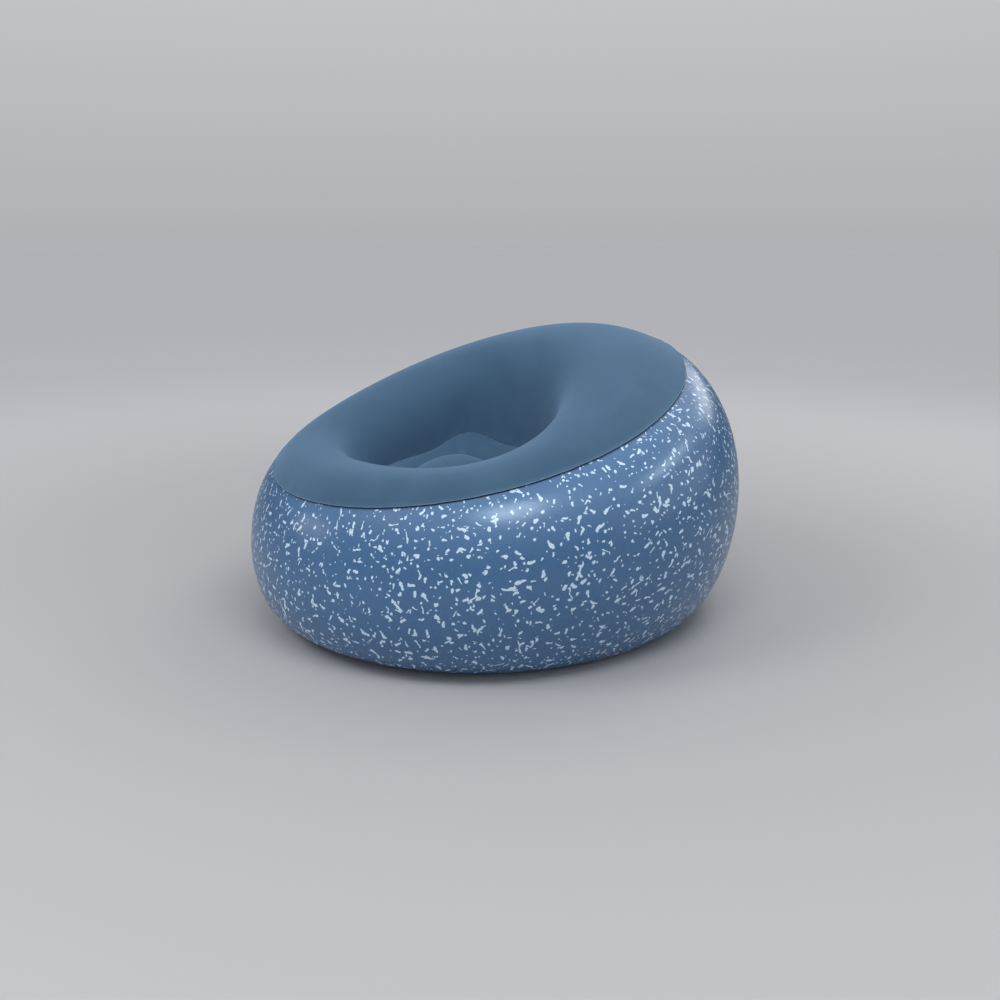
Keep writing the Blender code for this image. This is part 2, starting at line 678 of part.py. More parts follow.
def build_insert(parts, cutters, frame):
    """The screw-in insert: rim, neck, spout with spokes, hinge ears and strap post."""
    neck_inner = NECK_RADIUS - INSERT_WALL
    spout_outer = SPOUT_BORE_RADIUS + SPOUT_WALL
    profile = [(SPOUT_BORE_RADIUS, INSERT_TOP), (INSERT_RIM_RADIUS, INSERT_TOP),
               (INSERT_RIM_RADIUS, INSERT_LOW), (NECK_RADIUS, INSERT_LOW),
               (NECK_RADIUS, INSERT_FOOT), (neck_inner, INSERT_FOOT),
               (neck_inner, INSERT_LOW), (spout_outer, INSERT_LOW),
               (spout_outer, INSERT_FOOT), (SPOUT_BORE_RADIUS, INSERT_FOOT)]
    obj = turned("valve_insert", chamfered(profile, (0, 1, 4, 9)), parts, True)
    obj.parent = frame
    notches = ring_of_rods("grip_notches", NOTCH_RADIUS, NOTCH_COUNT,
                           INSERT_RIM_RADIUS + NOTCH_RADIUS - NOTCH_DEPTH,
                           INSERT_LOW - CUT_OVERRUN, INSERT_TOP + CUT_OVERRUN, cutters)
    combine(obj, helper(notches, frame), "DIFFERENCE")
    for turn in (0, math.pi / 2):
        spoke = box("spoke", (2 * SPOUT_BORE_RADIUS + SPOUT_WALL, SPOKE_WIDTH, SPOKE_THICKNESS),
                    (0, 0, INSERT_FOOT + SPOKE_THICKNESS / 2 + MERGE), cutters)
        spoke.rotation_euler = (0, 0, turn)
        combine(obj, helper(spoke, frame), "UNION")
    ear_high = INSERT_FOOT + EAR_ROOT
    ear_low = HINGE_HEIGHT - EAR_OVERHANG
    ear_x = HINGE_WIDTH / 2 + GAP + EAR_THICKNESS / 2
    for side in (-1, 1):
        ear = box("hinge_ear", (EAR_THICKNESS, EAR_DEPTH, ear_high - ear_low),
                  (side * ear_x, -HINGE_OFFSET, (ear_high + ear_low) / 2), cutters)
        combine(obj, helper(ear, frame), "UNION")
    hinge_hole = rod("hinge_hole", HINGE_PIN_RADIUS + GAP, -HINGE_WIDTH, HINGE_WIDTH, cutters)
    hinge_hole.location = (0, -HINGE_OFFSET, HINGE_HEIGHT)
    hinge_hole.rotation_euler = (0, math.pi / 2, 0)
    combine(obj, helper(hinge_hole, frame), "DIFFERENCE")
    post_high = GROOVE_HIGH + CAP_LIFT
    post = turned("strap_post", [(0, post_high + POST_HEAD_THICKNESS),
                                 (POST_HEAD_RADIUS, post_high + POST_HEAD_THICKNESS),
                                 (POST_HEAD_RADIUS, post_high), (POST_RADIUS, post_high),
                                 (POST_RADIUS, INSERT_LOW + GAP), (0, INSERT_LOW + GAP)],
                  cutters, False, SMALL_STEPS)
    post.location = (EYE_OFFSET, 0, 0)
    combine(obj, helper(post, frame), "UNION")
    return obj


def build_flap(parts, cutters, frame):
    """The one-way flap under the spout, with its hinge bead and pins along X."""
    half = FLAP_THICKNESS / 2
    obj = rod("valve_flap", SPOUT_BORE_RADIUS + FLAP_OVERLAP, -half, half, parts, TURNED_STEPS)
    for vertex in obj.data.vertices:
        vertex.co.y += HINGE_OFFSET
    neck = box("flap_neck", (HINGE_WIDTH - 2 * HINGE_PIN_RADIUS, FLAP_NECK_LENGTH, FLAP_THICKNESS),
               (0, FLAP_NECK_LENGTH / 2, 0), cutters)
    bead = rod("flap_bead", HINGE_BEAD_RADIUS, -HINGE_WIDTH / 2, HINGE_WIDTH / 2, cutters)
    pin_reach = HINGE_WIDTH / 2 + GAP + EAR_THICKNESS - GAP
    pin = rod("flap_pin", HINGE_PIN_RADIUS, -pin_reach, pin_reach, cutters)
    obj.parent = frame
    obj.location = (0, -HINGE_OFFSET, HINGE_HEIGHT)
    for extra in (neck, bead, pin):
        extra.location = obj.location
        combine(obj, helper(extra, frame), "UNION")
    for extra in (bead, pin):
        extra.rotation_euler = (0, math.pi / 2, 0)
    return obj


def build_cap(parts, cutters, frame):
    """The screw cap: a grooved head with a grip bar, and a hollow plug."""
    plug_low = CAP_LOW - PLUG_LENGTH
    plug_inner = PLUG_RADIUS - PLUG_WALL
    profile = [(0, CAP_TOP), (CAP_RADIUS, CAP_TOP), (CAP_RADIUS, GROOVE_HIGH),
               (GROOVE_RADIUS, GROOVE_HIGH), (GROOVE_RADIUS, GROOVE_LOW),
               (CAP_RADIUS, GROOVE_LOW), (CAP_RADIUS, CAP_LOW), (PLUG_RADIUS, CAP_LOW),
               (PLUG_RADIUS, plug_low), (plug_inner, plug_low), (plug_inner, CAP_LOW), (0, CAP_LOW)]
    obj = turned("valve_cap", chamfered(profile, (1, 8, 9)), parts, False)
    obj.parent = frame
    grip = box("cap_grip", (GRIP_LENGTH, GRIP_WIDTH, GRIP_HEIGHT + CAP_LIP_THICKNESS),
               (0, 0, CAP_TOP + (GRIP_HEIGHT - CAP_LIP_THICKNESS) / 2), cutters)
    edges = grip.modifiers.new("edges", "BEVEL")
    edges.width = GRIP_EDGE
    edges.segments = 2
    combine(obj, helper(grip, frame), "UNION")
    return obj


def build_strap(parts, cutters, frame):
    """The cap's strap: a ring in the cap's groove and an eye on the insert's post."""
    low = GROOVE_LOW + GAP
    high = low + STRAP_THICKNESS
    hole = GROOVE_RADIUS + GAP
    obj = rod("cap_strap", hole + STRAP_RING_WIDTH, low, high, parts, TURNED_STEPS)
    obj.parent = frame
    eye_hole = POST_RADIUS + GAP
    tail = box("strap_tail", (EYE_OFFSET - hole, STRAP_WIDTH, STRAP_THICKNESS),
               ((EYE_OFFSET + hole) / 2, 0, (low + high) / 2), cutters)
    eye = rod("strap_eye", eye_hole + EYE_WALL, low, high, cutters)
    eye.location = (EYE_OFFSET, 0, 0)
    for extra in (tail, eye):
        combine(obj, helper(extra, frame), "UNION")
    for name, radius, x, steps in (("strap_hole", hole, 0, TURNED_STEPS),
                                   ("strap_eye_hole", eye_hole, EYE_OFFSET, SMALL_STEPS)):
        cutter = rod(name, radius, low - CUT_OVERRUN, high + CUT_OVERRUN, cutters, steps)
        cutter.location = (x, 0, 0)
        combine(obj, helper(cutter, frame), "DIFFERENCE")
    return obj


def main():
    """Builds the whole chair."""
    clear_scene()
    parts = new_collection(OBJECT_NAME)
    cutters = new_collection("cutters")
    finish = {name: make_material(name) for name in FINISHES}

    frame = build_valve_frame(cutters)
    wall = build_side_wall(parts)
    bpy.context.view_layer.update()
    base = build_valve_base(parts, cutters, frame, wall)
    finish_piece(wall, finish["printed_blue"])
    finish_piece(build_top_panel(parts), finish["flocked_blue"])
    finish_piece(build_seat_panel(parts), finish["flocked_blue"])
    finish_piece(build_base_sheet(parts), finish["base_blue"])
    for web in build_webs(parts, cutters):
        finish_piece(web, finish["web_grey"])
    finish_piece(base, finish["valve_soft_blue"])
    finish_piece(seal_ring("insert_seal", NECK_RADIUS + GAP, INSERT_SEAL_WIDTH,
                           COLLAR_TOP + GAP, parts, frame), finish["seal_clear_grey"])
    finish_piece(build_insert(parts, cutters, frame), finish["valve_hard_grey"])
    finish_piece(build_flap(parts, cutters, frame), finish["seal_clear_grey"])
    finish_piece(seal_ring("cap_seal", PLUG_RADIUS + GAP, CAP_SEAL_WIDTH,
                           INSERT_TOP + GAP, parts, frame), finish["seal_clear_grey"])
    finish_piece(build_strap(parts, cutters, frame), finish["valve_soft_blue"])
    finish_piece(build_cap(parts, cutters, frame), finish["valve_hard_grey"])


main()
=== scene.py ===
"""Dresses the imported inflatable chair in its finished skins, seams, webs and valve.

It is laid out as an add-on. Each operator makes one piece, or one group of like
pieces, from the sizes and colours that the panel lists. Metres, +Z up. The chair
faces -Y, and left is the sitter's, so left is +X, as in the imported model.
"""
import math

import bpy
import numpy as np
from bpy.props import FloatProperty, FloatVectorProperty, PointerProperty
from mathutils import Matrix


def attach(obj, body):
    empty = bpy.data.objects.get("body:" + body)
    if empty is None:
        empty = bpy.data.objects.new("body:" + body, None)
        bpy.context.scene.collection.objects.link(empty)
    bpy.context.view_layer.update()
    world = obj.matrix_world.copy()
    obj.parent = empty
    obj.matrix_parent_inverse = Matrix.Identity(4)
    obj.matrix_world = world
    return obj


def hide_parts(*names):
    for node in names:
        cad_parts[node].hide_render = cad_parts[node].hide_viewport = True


bl_info = {
    "name": "Inflatable chair dressing",
    "version": (1, 0, 0),
    "blender": (4, 5, 0),
    "location": "3D View > Sidebar > Chair",
    "description": "Finished skins, seams, webs and valve for the packed inflatable chair",
    "category": "Object",
}

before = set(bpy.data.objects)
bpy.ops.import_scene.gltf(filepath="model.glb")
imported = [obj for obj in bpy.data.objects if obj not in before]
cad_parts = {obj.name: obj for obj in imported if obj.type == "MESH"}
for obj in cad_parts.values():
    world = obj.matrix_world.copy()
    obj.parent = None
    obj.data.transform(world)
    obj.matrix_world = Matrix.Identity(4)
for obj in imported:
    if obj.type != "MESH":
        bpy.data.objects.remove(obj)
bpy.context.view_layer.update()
UP = np.array([0.0, 0.0, 1.0])

# Facets
AROUND = 512
WALL_ROWS = 88
ROLL_ROWS = 34
WELL_ROWS = 44
SEAT_RINGS = 22
BASE_SIDE = 24
BASE_RINGS = 14
BEAD_SIDES = 8
HOLE_STEPS = 96
LAP_COLUMNS = 7
FLOOR_STEPS = 96
FLOOR_RINGS = 24

# How much rows crowd at both ends, and the power that crowds the roll's rows at the rim
WALL_SQUEEZE = 0.72
WELL_SQUEEZE = 0.45
SEAT_SQUEEZE = 0.4
ROLL_POWER = 1.25

# Where the closing lap starts and ends up the wall's curve
LAP_ENDS = (0.14, 0.965)
# Where a straight weld ends on its square's side, by the square's half side
WELD_END = math.tan(math.radians(30))
# Half side of the base sheet's inner grid, by the sheet's radius
BASE_SQUARE = 0.4
# The free edge's middle row: how far down the edge it lies, and its share of the lift
EDGE_BEND = (0.4, 0.45)

# Folds: how many waves go round, how far their phases wander, and how far from a seam
# that holds them flat they rise, in metres
RIM_FOLDS = ((47, 71, 33), 1.2, 0.0)
BASE_FOLDS = ((39, 58, 25), 1.5, 0.006)
SEAT_FOLDS = ((24, 35, 16), 1.6, 0.003)

# Steps and rounds of the working
CURVE_STEPS = 60
HALVINGS = 26
VALVE_STEPS = 240
SOFTEN_ROUNDS = 600
RELAX_ROUNDS = 80
# Least rise from step to step of a curve that starts level, and least length to divide by
LEAST_RISE = 0.00001
TINY = 1e-12

# Printed flecks: cells a metre, half length, half width and share of the cells
RODS = (42.0, 0.0078, 0.0032, 0.9)
STROKES = (24.0, 0.018, 0.0028, 0.32)
DOTS = (62.0, 0.003, 0.0021, 0.5)
# How far those layers' cells are moved from the first's
STROKES_SHIFT = (0.37, 0.21, 0.0)
DOTS_SHIFT = (0.19, 0.43, 0.0)
# Change of a fleck's width along it, its least share of the width, and its soft edge
FLECK_TAPER = 0.40
FLECK_LEAST = 0.42
FLECK_EDGE = (-0.0002, 0.0003)
# The stretch of a noise that holds most of its values
NOISE_MIDDLE = (0.3, 0.7)

# Lamps: azimuth and elevation in degrees, distance, width and height in metres, watts
LAMPS = {
    "key_lamp": (64, 54, 2.7, (1.7, 0.8), 22),
    "front_lamp": (-12, 44, 3.4, (1.4, 1.4), 26),
    "window_lamp": (182, 50, 3.2, (1.5, 1.5), 13),
}
WHITE = (1.0, 1.0, 1.0)
COOL = (0.75, 0.93, 1.0)
# The same with a tint, for lamps that only show in glossy surfaces
GLOWS = {
    "key_glow": (45, 54, 2.7, (0.7, 0.8), 26, COOL),
    "side_glow": (130, 39, 3.2, (1.6, 0.3), 14, COOL),
    "window_glow": (184, 26, 3.2, (1.3, 0.8), 9.5, WHITE),
    "right_glow": (125, 13, 3.4, (3.6, 1.3), 15, WHITE),
    "left_glow": (-38, 12, 3.4, (1.0, 0.6), 6, WHITE),
}
LAMP_AIM = 0.3
FRAME_WIDTH = 36.0


# Settings

def length(name, description, default):
    """A size in metres."""
    return FloatProperty(name=name, description=description, default=default,
                         unit="LENGTH", subtype="DISTANCE", precision=4)


def lengths(name, description, default):
    """Several sizes in metres."""
    return FloatVectorProperty(name=name, description=description, default=default,
                               size=len(default), unit="LENGTH", precision=4)


def angle(name, description, degrees):
    """An angle, given in degrees."""
    return FloatProperty(name=name, description=description, default=math.radians(degrees),
                         unit="ROTATION", subtype="ANGLE")


def angles_of(name, description, degrees):
    """Several angles, given in degrees."""
    return FloatVectorProperty(name=name, description=description, size=len(degrees),
                               default=[math.radians(d) for d in degrees], unit="ROTATION")


def shares(name, description, default):
    """Several plain ratios."""
    return FloatVectorProperty(name=name, description=description, default=default,
                               size=len(default))


def ratio(name, description, default):
    """One plain ratio."""
    return FloatProperty(name=name, description=description, default=default)


def colour(name, description, default):
    """A linear colour."""
    return FloatVectorProperty(name=name, description=description, default=default, size=3,
                               subtype="COLOR", min=0.0, max=1.0)


class ChairForm(bpy.types.PropertyGroup):
    """Sizes of the blown-up form: the part's own, but for narrower peaks of the seat seam."""
    overall_width: length("Overall width", "Across the belly of the side wall", 1.12)
    overall_height: length("Overall height", "From the floor to the top of the back", 0.64)
    vinyl: length("Vinyl", "Thickness of the plain sheets", 0.0004)
    flocked_vinyl: length("Flocked vinyl", "Thickness of the flocked sheets", 0.0006)
    gap: length("Weld gap", "Room between welded sheets", 0.0003)
    weld_width: length("Weld width", "Lap of one sheet on the next", 0.008)
    base_radius: length("Base seam radius", "Where the side wall meets the base", 0.425)
    rim_centre: lengths("Rim centre", "Along Y and Z", (-0.043, 0.468))
    rim_half: lengths("Rim half sizes", "Half width and half length of the rim seam", (0.44, 0.482))
    rim_saddle: length("Rim saddle", "Dip of the seam's sides below its plane", 0.011)
    rim_tilt: angle("Rim tilt", "Slope of the rim seam's plane", 16.5)
    wall_head: lengths("Wall head", "Reach under the rim at front, side and back", (0.122, 0.247, 0.18))
    wall_pitch: angles_of("Wall pitch", "Slope under the rim at front, side and back",
                          (56.2, 21.3, 23.2))
    crest_centre_y: length("Crest centre", "Along Y", -0.058)
    crest_half: lengths("Crest half sizes", "Half width and half length", (0.33, 0.353))
    crest_taper: ratio("Crest taper", "How much narrower the crest is at the back", 0.21)
    crest_height: lengths("Crest height", "At front, side and shoulder", (0.398, 0.499, 0.605))
    roll_pitch: angles_of("Roll pitch", "Slope over the rim at front, side and back", (61.5, 39.5, 20.8))
    roll_share: shares("Roll handles", "Start and crest handles by the roll's rise", (0.381, 0.411))
    well_crest_share: shares("Well crest handles", "At front, side and back", (0.625, 0.462, 0.679))
    well_foot_share: shares("Well foot handles", "At front, side and back", (0.32, 0.227, 0.301))
    well_foot_lean: angle("Well foot lean", "Lean of the well's wall at the seat seam", 7.4)
    seat_centre_y: length("Seat centre", "Along Y", -0.110)
    seat_radius: length("Seat radius", "Out to the seat seam", 0.223)
    seat_seam_height: length("Seat seam height", "Half way from front to back", 0.319)
    seat_seam_slope: length("Seat seam slope", "How much higher the back is than the middle", 0.033)
    seat_seam_rise: lengths("Seat seam rise", "At the front and back corners", (0.018, 0.038))
    seam_peak_power: ratio("Seam peak power", "How narrow its corners' peaks are", 2.7)
    weld_half: length("Weld square", "Half side of the square of welds", 0.112)
    weld_height: length("Weld height", "Height of the straight welds", 0.272)
    dome_rise: length("Dome rise", "Of the seat over its welds", 0.095)
    corner_rise: lengths("Corner rise", "Of the seat's front and back corners", (0.035, 0.080))
    ring_bulge: length("Ring bulge", "Of the ring between welds and seam", 0.018)
    valve_height: length("Valve height", "Of the valve's middle on the back", 0.088)
    collar_radius: length("Collar radius", "Of the valve's collar in the wall", 0.022)
    lap_angle: angle("Closing lap", "Where the wall's ends meet, round from the left", 125.0)
    lap_width: length("Closing lap width", "Overlap of the wall's ends", 0.010)


class ChairDetail(bpy.types.PropertyGroup):
    """Small forms that the plain solids leave out."""
    margin: length("Lap margin", "Free edge of the top below its weld", 0.002)
    margin_lift: length("Margin lift", "How far the free edge stands off", 0.0009)
    bead_radius: length("Bead radius", "Of the melted edge along the rim", 0.0008)
    groove_depth: length("Groove depth", "Dip in the wall under the rim's edge", 0.0016)
    # Width of the painted shadow line under the rim's edge: a band of colour, not a form
    shadow_line_width: length("Groove width", "Dark line along the rim's edge", 0.0034)
    groove_reach: length("Groove reach", "How far down that dip fades", 0.008)
    pucker: length("Rim pucker", "Height of the folds along the rim", 0.0004)
    pucker_reach: length("Pucker reach", "How far the folds fade", 0.026)
    base_pucker: length("Base pucker", "Height of the folds along the base", 0.0009)
    base_pucker_reach: length("Base pucker reach", "How far those folds fade", 0.05)
    seat_pucker: length("Seat pucker", "Height of the folds along the seat seam", 0.0007)
    seat_pucker_reach: length("Seat pucker reach", "How far those folds fade", 0.022)
    soft_corner: ratio("Soft corner", "How soon the seat's corners lose their crease", 4.0)
    corner_reach: length("Corner reach", "How far the seat's corners are eased", 0.03)


class ChairColours(bpy.types.PropertyGroup):
    """Linear colours of the finishes."""
    flock: colour("Flock", "Slate blue pile of the top", (0.050, 0.108, 0.180))
    flock_light: colour("Brushed flock", "Where the pile lies the other way", (0.060, 0.125, 0.204))
    wall: colour("Printed vinyl", "Ground of the side wall", (0.068, 0.163, 0.318))
    fleck: colour("Flecks", "Printed flecks on the side wall", (0.630, 0.815, 1.000))
    # Painted shadow: the dark line in the dip under the top's free edge, mixed into the side wall's
    # colour
    seam: colour("Seam line", "Shaded dip under the rim's edge", (0.006, 0.018, 0.050))
    base: colour("Base vinyl", "Underside", (0.030, 0.062, 0.130))
    edge: colour("Weld edge", "Unflocked edge of the top", (0.130, 0.250, 0.400))
    web: colour("Web vinyl", "Webs inside the chair", (0.300, 0.340, 0.380))
    soft_valve: colour("Soft valve vinyl", "Collar and strap", (0.070, 0.150, 0.275))
    hard_valve: colour("Hard valve plastic", "Insert and cap", (0.230, 0.260, 0.290))
    seal: colour("Seal rubber", "Flap and sealing rings", (0.420, 0.440, 0.450))


class ChairStudio(bpy.types.PropertyGroup):
    """Floor, room light and camera."""
    floor: colour("Floor", "Pale floor", (0.500, 0.495, 0.505))
    floor_far: colour("Far floor", "What the chair mirrors of it further away", (0.400, 0.395, 0.403))
    floor_fade: lengths("Floor fade", "From and to what distance that changes", (1.0, 2.6))
    floor_seen: colour("Far floor seen", "What the camera sees there, to stay as pale",
                       (0.815, 0.805, 0.820))
    seen_fade: lengths("Seen fade", "From and to what distance that changes", (0.6, 3.4))
    floor_middle: length("Floor middle", "Radius of its innermost ring", 0.001)
    floor_radius: length("Floor radius", "Reach of the floor", 60.0)
    backdrop: colour("Backdrop", "What the camera sees high over the floor", (0.600, 0.600, 0.610))
    backdrop_low: colour("Low backdrop", "What it sees where the floor ends", (0.434, 0.445, 0.468))
    backdrop_rise: ratio("Backdrop rise", "Height of its direction where the high one starts", 0.3)
    camera_azimuth: angle("Camera azimuth", "Round the chair from its front", 49.46)
    camera_elevation: angle("Camera elevation", "Over the horizon", 14.17)
    camera_distance: length("Camera distance", "From the chair's axis", 2.495)
    aim: lengths("Camera aim", "Sideways and up from the origin", (0.0146, 0.2452))
    lens: FloatProperty(name="Lens", description="Focal length in millimetres on a 36 mm frame",
                        default=38.224)
    room: colour("Room", "Colour of the light from all round", (0.93, 0.96, 1.0))
    world_strength: ratio("Room light", "Strength of the light from all round", 0.54)
    gloss_low: ratio("Low gloss", "Strength that glossy surfaces show near the horizon", 0.05)
    gloss_high: ratio("High gloss", "Strength that they show overhead", 1.20)
    gloss_band: shares("Gloss band", "Heights of direction between which it grows", (0.10, 0.80))


# Forms of the blown-up skins

def even_angles(count, start=0.0):
    """Angles evenly round from a start."""
    return start + np.arange(count) * 2 * math.pi / count


def round_blend(theta, values):
    """side + (back - front) / 2 * s + ((back + front) / 2 - side) * s^2, with s = sin(theta)."""
    front, side, back = values
    s = np.sin(theta)
    return side + (back - front) / 2 * s + ((back + front) / 2 - side) * s * s


def outward(theta):
    """Level unit vectors (cos theta, sin theta, 0)."""
    return np.stack([np.cos(theta), np.sin(theta), 0 * theta], -1)


def cubic(handles, t):
    """Cubic curve: the four handles weighted by (1-t)^3, 3t(1-t)^2, 3t^2(1-t) and t^3."""
    p0, p1, p2, p3 = handles
    t = np.asarray(t)[..., None]
    return p0 * (1 - t)**3 + 3 * p1 * t * (1 - t)**2 + 3 * p2 * t**2 * (1 - t) + p3 * t**3


def rim_points(form, theta):
    """The rim seam: an ellipse tilted about X, less a saddle of cos(2 theta)."""
    reach = form.rim_half[1] * np.sin(theta)
    return np.stack([form.rim_half[0] * np.cos(theta),
                     form.rim_centre[0] + reach * math.cos(form.rim_tilt),
                     form.rim_centre[1] + reach * math.sin(form.rim_tilt)
                     - form.rim_saddle * np.cos(2 * theta)], -1)


def wall_handles(form, theta):
    """Handles of the side wall's curve from the base seam up to the rim at each angle.

    It leaves the floor level. The foot handle is as long as brings the belly out to
    half the overall width, found by halving.
    """
    away = outward(theta)
    foot = form.base_radius * away + (form.vinyl + form.gap) * UP
    rim = rim_points(form, theta)
    pitch = round_blend(theta, form.wall_pitch)[:, None]
    slope = away * np.cos(pitch) - UP * np.sin(pitch)
    head = rim + round_blend(theta, form.wall_head)[:, None] * slope
    steps = np.linspace(0, 1, CURVE_STEPS)[:, None]
    low, high = np.zeros(len(theta)), np.full(len(theta), form.overall_width)
    for _ in range(HALVINGS):
        reach = (low + high) / 2
        curve = cubic((foot, foot + reach[:, None] * away, head, rim), steps)
        too_wide = np.hypot(curve[..., 0], curve[..., 1]).max(0) > form.overall_width / 2
        high = np.where(too_wide, reach, high)
        low = np.where(too_wide, low, reach)
    return foot, foot + low[:, None] * away, head, rim


def crest_points(form, theta):
    """Crest of the roll: an oval in plan, its height blended round with a term s - s^3."""
    top = form.overall_height - form.flocked_vinyl
    front, side, shoulder = form.crest_height
    s, half_way = np.sin(theta), math.sin(math.pi / 4)
    plain = round_blend(np.array([math.pi / 4]), (front, side, top))[0]
    bend = (shoulder - plain) / (half_way * (1 - half_way**2))
    height = round_blend(theta, (front, side, top)) + bend * s * (1 - s * s)
    return np.stack([form.crest_half[0] * np.cos(theta) * (1 - form.crest_taper * s),
                     form.crest_centre_y + form.crest_half[1] * s, height], -1)


def seat_seam(form, theta):
    """The seat seam: a circle that slopes up to the back, with peaks at its four corners.

    The peaks are (1 - cos 4 theta) / 2 to a power, times a rise that blends from the
    front corners to the back ones.
    """
    corner = ((1 - np.cos(4 * theta)) / 2)**form.seam_peak_power
    front, back = form.seat_seam_rise
    peak = front + (back - front) * (1 + np.sin(theta) / math.sin(math.pi / 4)) / 2
    return np.stack([form.seat_radius * np.cos(theta),
                     form.seat_centre_y + form.seat_radius * np.sin(theta),
                     form.seat_seam_height + form.seat_seam_slope * np.sin(theta)
                     + peak * corner], -1)


def roll_handles(form, theta, start):
    """Handles of the roll from the rim to its crest, and of the well from there to the seat."""
    away = outward(theta)
    crest, seam = crest_points(form, theta), seat_seam(form, theta)
    rise = np.linalg.norm(crest - start, axis=1)[:, None]
    fall = np.linalg.norm(seam - crest, axis=1)[:, None]
    pitch = round_blend(theta, form.roll_pitch)[:, None]
    crest_share = round_blend(theta, form.well_crest_share)[:, None]
    foot_share = round_blend(theta, form.well_foot_share)[:, None]
    slope = UP * np.sin(pitch) - away * np.cos(pitch)
    lean = UP * math.cos(form.well_foot_lean) + away * math.sin(form.well_foot_lean)
    outer = (start, start + form.roll_share[0] * rise * slope,
             crest + form.roll_share[1] * rise * away, crest)
    inner = (crest, crest - crest_share * fall * away, seam + foot_share * fall * lean, seam)
    return outer, inner


def corner_step(share):
    """3u^2 - 2u^3, where u runs from the end of a straight weld to the square's corner."""
    u = np.clip((share - WELD_END) / (1 - WELD_END), 0, 1)
    return u * u * (3 - 2 * u)


def seat_height(form, x, y):
    """Dome of sqrt((1 - x^2)(1 - y^2)), plus raised corners, by shares of the weld square."""
    dome = np.sqrt(np.clip((1 - x**2) * (1 - y**2), 0, None))
    corner = corner_step(np.abs(x)) * corner_step(np.abs(y))
    front, back = form.corner_rise
    peak = (back + front + (back - front) * y) / 2
    return form.weld_height + form.dome_rise * dome + peak * corner


# Grids and meshes

def crowded(count, squeeze):
    """Shares from 0 to 1 that crowd at both ends: s - squeeze * sin(2 pi s) / (2 pi)."""
    s = np.linspace(0, 1, count)
    return s - squeeze * np.sin(2 * math.pi * s) / (2 * math.pi)


def unit(vectors):
    """Vectors of length 1 that point the same ways."""
    return vectors / np.maximum(np.linalg.norm(vectors, axis=-1, keepdims=True), TINY)


def normals_of(rows):
    """Unit normals of a grid that closes round: across-step crossed with up-step."""
    across = np.roll(rows, -1, axis=1) - np.roll(rows, 1, axis=1)
    return unit(np.cross(across, np.gradient(rows, axis=0)))


def open_normals(rows):
    """Unit normals of a grid that doesn't close round."""
    return unit(np.cross(np.gradient(rows, axis=1), np.gradient(rows, axis=0)))


def run_up(rows):
    """Distance along each column from the first row."""
    steps = np.linalg.norm(np.diff(rows, axis=0), axis=2)
    return np.concatenate([np.zeros((1, rows.shape[1])), np.cumsum(steps, axis=0)])


def fading_folds(theta, kind, height, distance, reach):
    """Uneven folds round a seam, which fade by exp(-distance / reach).

    Their shape is the mean of sines of n theta, whose phases wander by a sine of
    5, 7 and 9 theta. Those with a start rise from the seam by 1 - exp(-distance / start).
    """
    counts, wander, start = kind
    total = sum(np.sin(n * theta + i + wander * np.sin((5 + 2 * i) * theta + i))
                for i, n in enumerate(counts))
    faded = height * (total / len(counts)) * np.exp(-distance / reach)
    return faded * (1 - np.exp(-distance / start)) if start else faded


def round_faces(low, high):
    """Quads between two closed rows of point numbers, each given as an array."""
    return np.stack([low, np.roll(low, -1), np.roll(high, -1), high], 1)


def grid_faces(rows, columns, closed=True):
    """Quads of a grid of points numbered row by row."""
    number = np.arange(rows * columns).reshape(rows, columns)
    right = np.roll(number, -1, axis=1)
    quads = np.stack([number[:-1], right[:-1], right[1:], number[1:]], 2)
    return (quads if closed else quads[:, :-1]).reshape(-1, 4)


def square_shares(side):
    """X and Y of a grid over a square of half side 1, spaced as tan of even angles."""
    share = np.tan(np.linspace(-math.pi / 4, math.pi / 4, side + 1))
    return np.meshgrid(share, share, indexing="ij")


def square_points(theta):
    """Where rays at those angles leave a square of half side 1."""
    ray = outward(theta)[:, :2]
    return ray / np.abs(ray).max(1, keepdims=True)


def disc_faces(side, rings):
    """Quads of a square grid with rings of 4 * side points round it.

    The grid's points are numbered x by x, and the rings start at the corner
    (1, -1) and go round anticlockwise, as the grid's border is read here.
    """
    number = np.arange((side + 1)**2).reshape(side + 1, side + 1)
    grid = np.stack([number[:-1, :-1], number[1:, :-1], number[1:, 1:], number[:-1, 1:]], 2)
    border = np.concatenate([number[side, :side], number[side:0:-1, side],
                             number[0, side:0:-1], number[:side, 0]])
    loops = [border] + [(side + 1)**2 + i * 4 * side + np.arange(4 * side) for i in range(rings)]
    bands = [round_faces(b, a) for a, b in zip(loops, loops[1:])]
    return np.concatenate([grid.reshape(-1, 4)] + bands)


def sheet_object(name, points, faces):
    """A smooth-shaded mesh object at the origin from arrays of points and faces."""
    mesh = bpy.data.meshes.new(name)
    mesh.from_pydata(points.reshape(-1, 3).tolist(), [], faces.tolist())
    if mesh.validate():
        raise RuntimeError(f"{name} has bad faces")
    mesh.shade_smooth()
    obj = bpy.data.objects.new(name, mesh)
    bpy.context.scene.collection.objects.link(obj)
    return obj


def thicken(obj, thickness, side):
    """Gives an open sheet its thickness: side is -1 behind its faces and 1 before."""
    shell = obj.modifiers.new("sheet", "SOLIDIFY")
    shell.thickness = thickness
    shell.offset = side
    shell.use_even_offset = True


def dress(obj, material, body, slot, *nodes):
    """Material, body and the CAD nodes that a piece stands for. Its slot is not used."""
    obj.data.materials.clear()
    obj.data.materials.append(material)
    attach(obj, body)
    if nodes:
        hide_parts(*nodes)


def point_values(obj, name, values):
    """A number for each point, which a material reads by that name."""
    layer = obj.data.attributes.new(name, "FLOAT", "POINT")
    layer.data.foreach_set("value", np.asarray(values, dtype=np.float32).ravel())


# Materials

def is_output(value):
    """True for a node's socket, and False for a plain value."""
    return isinstance(value, bpy.types.NodeSocket)


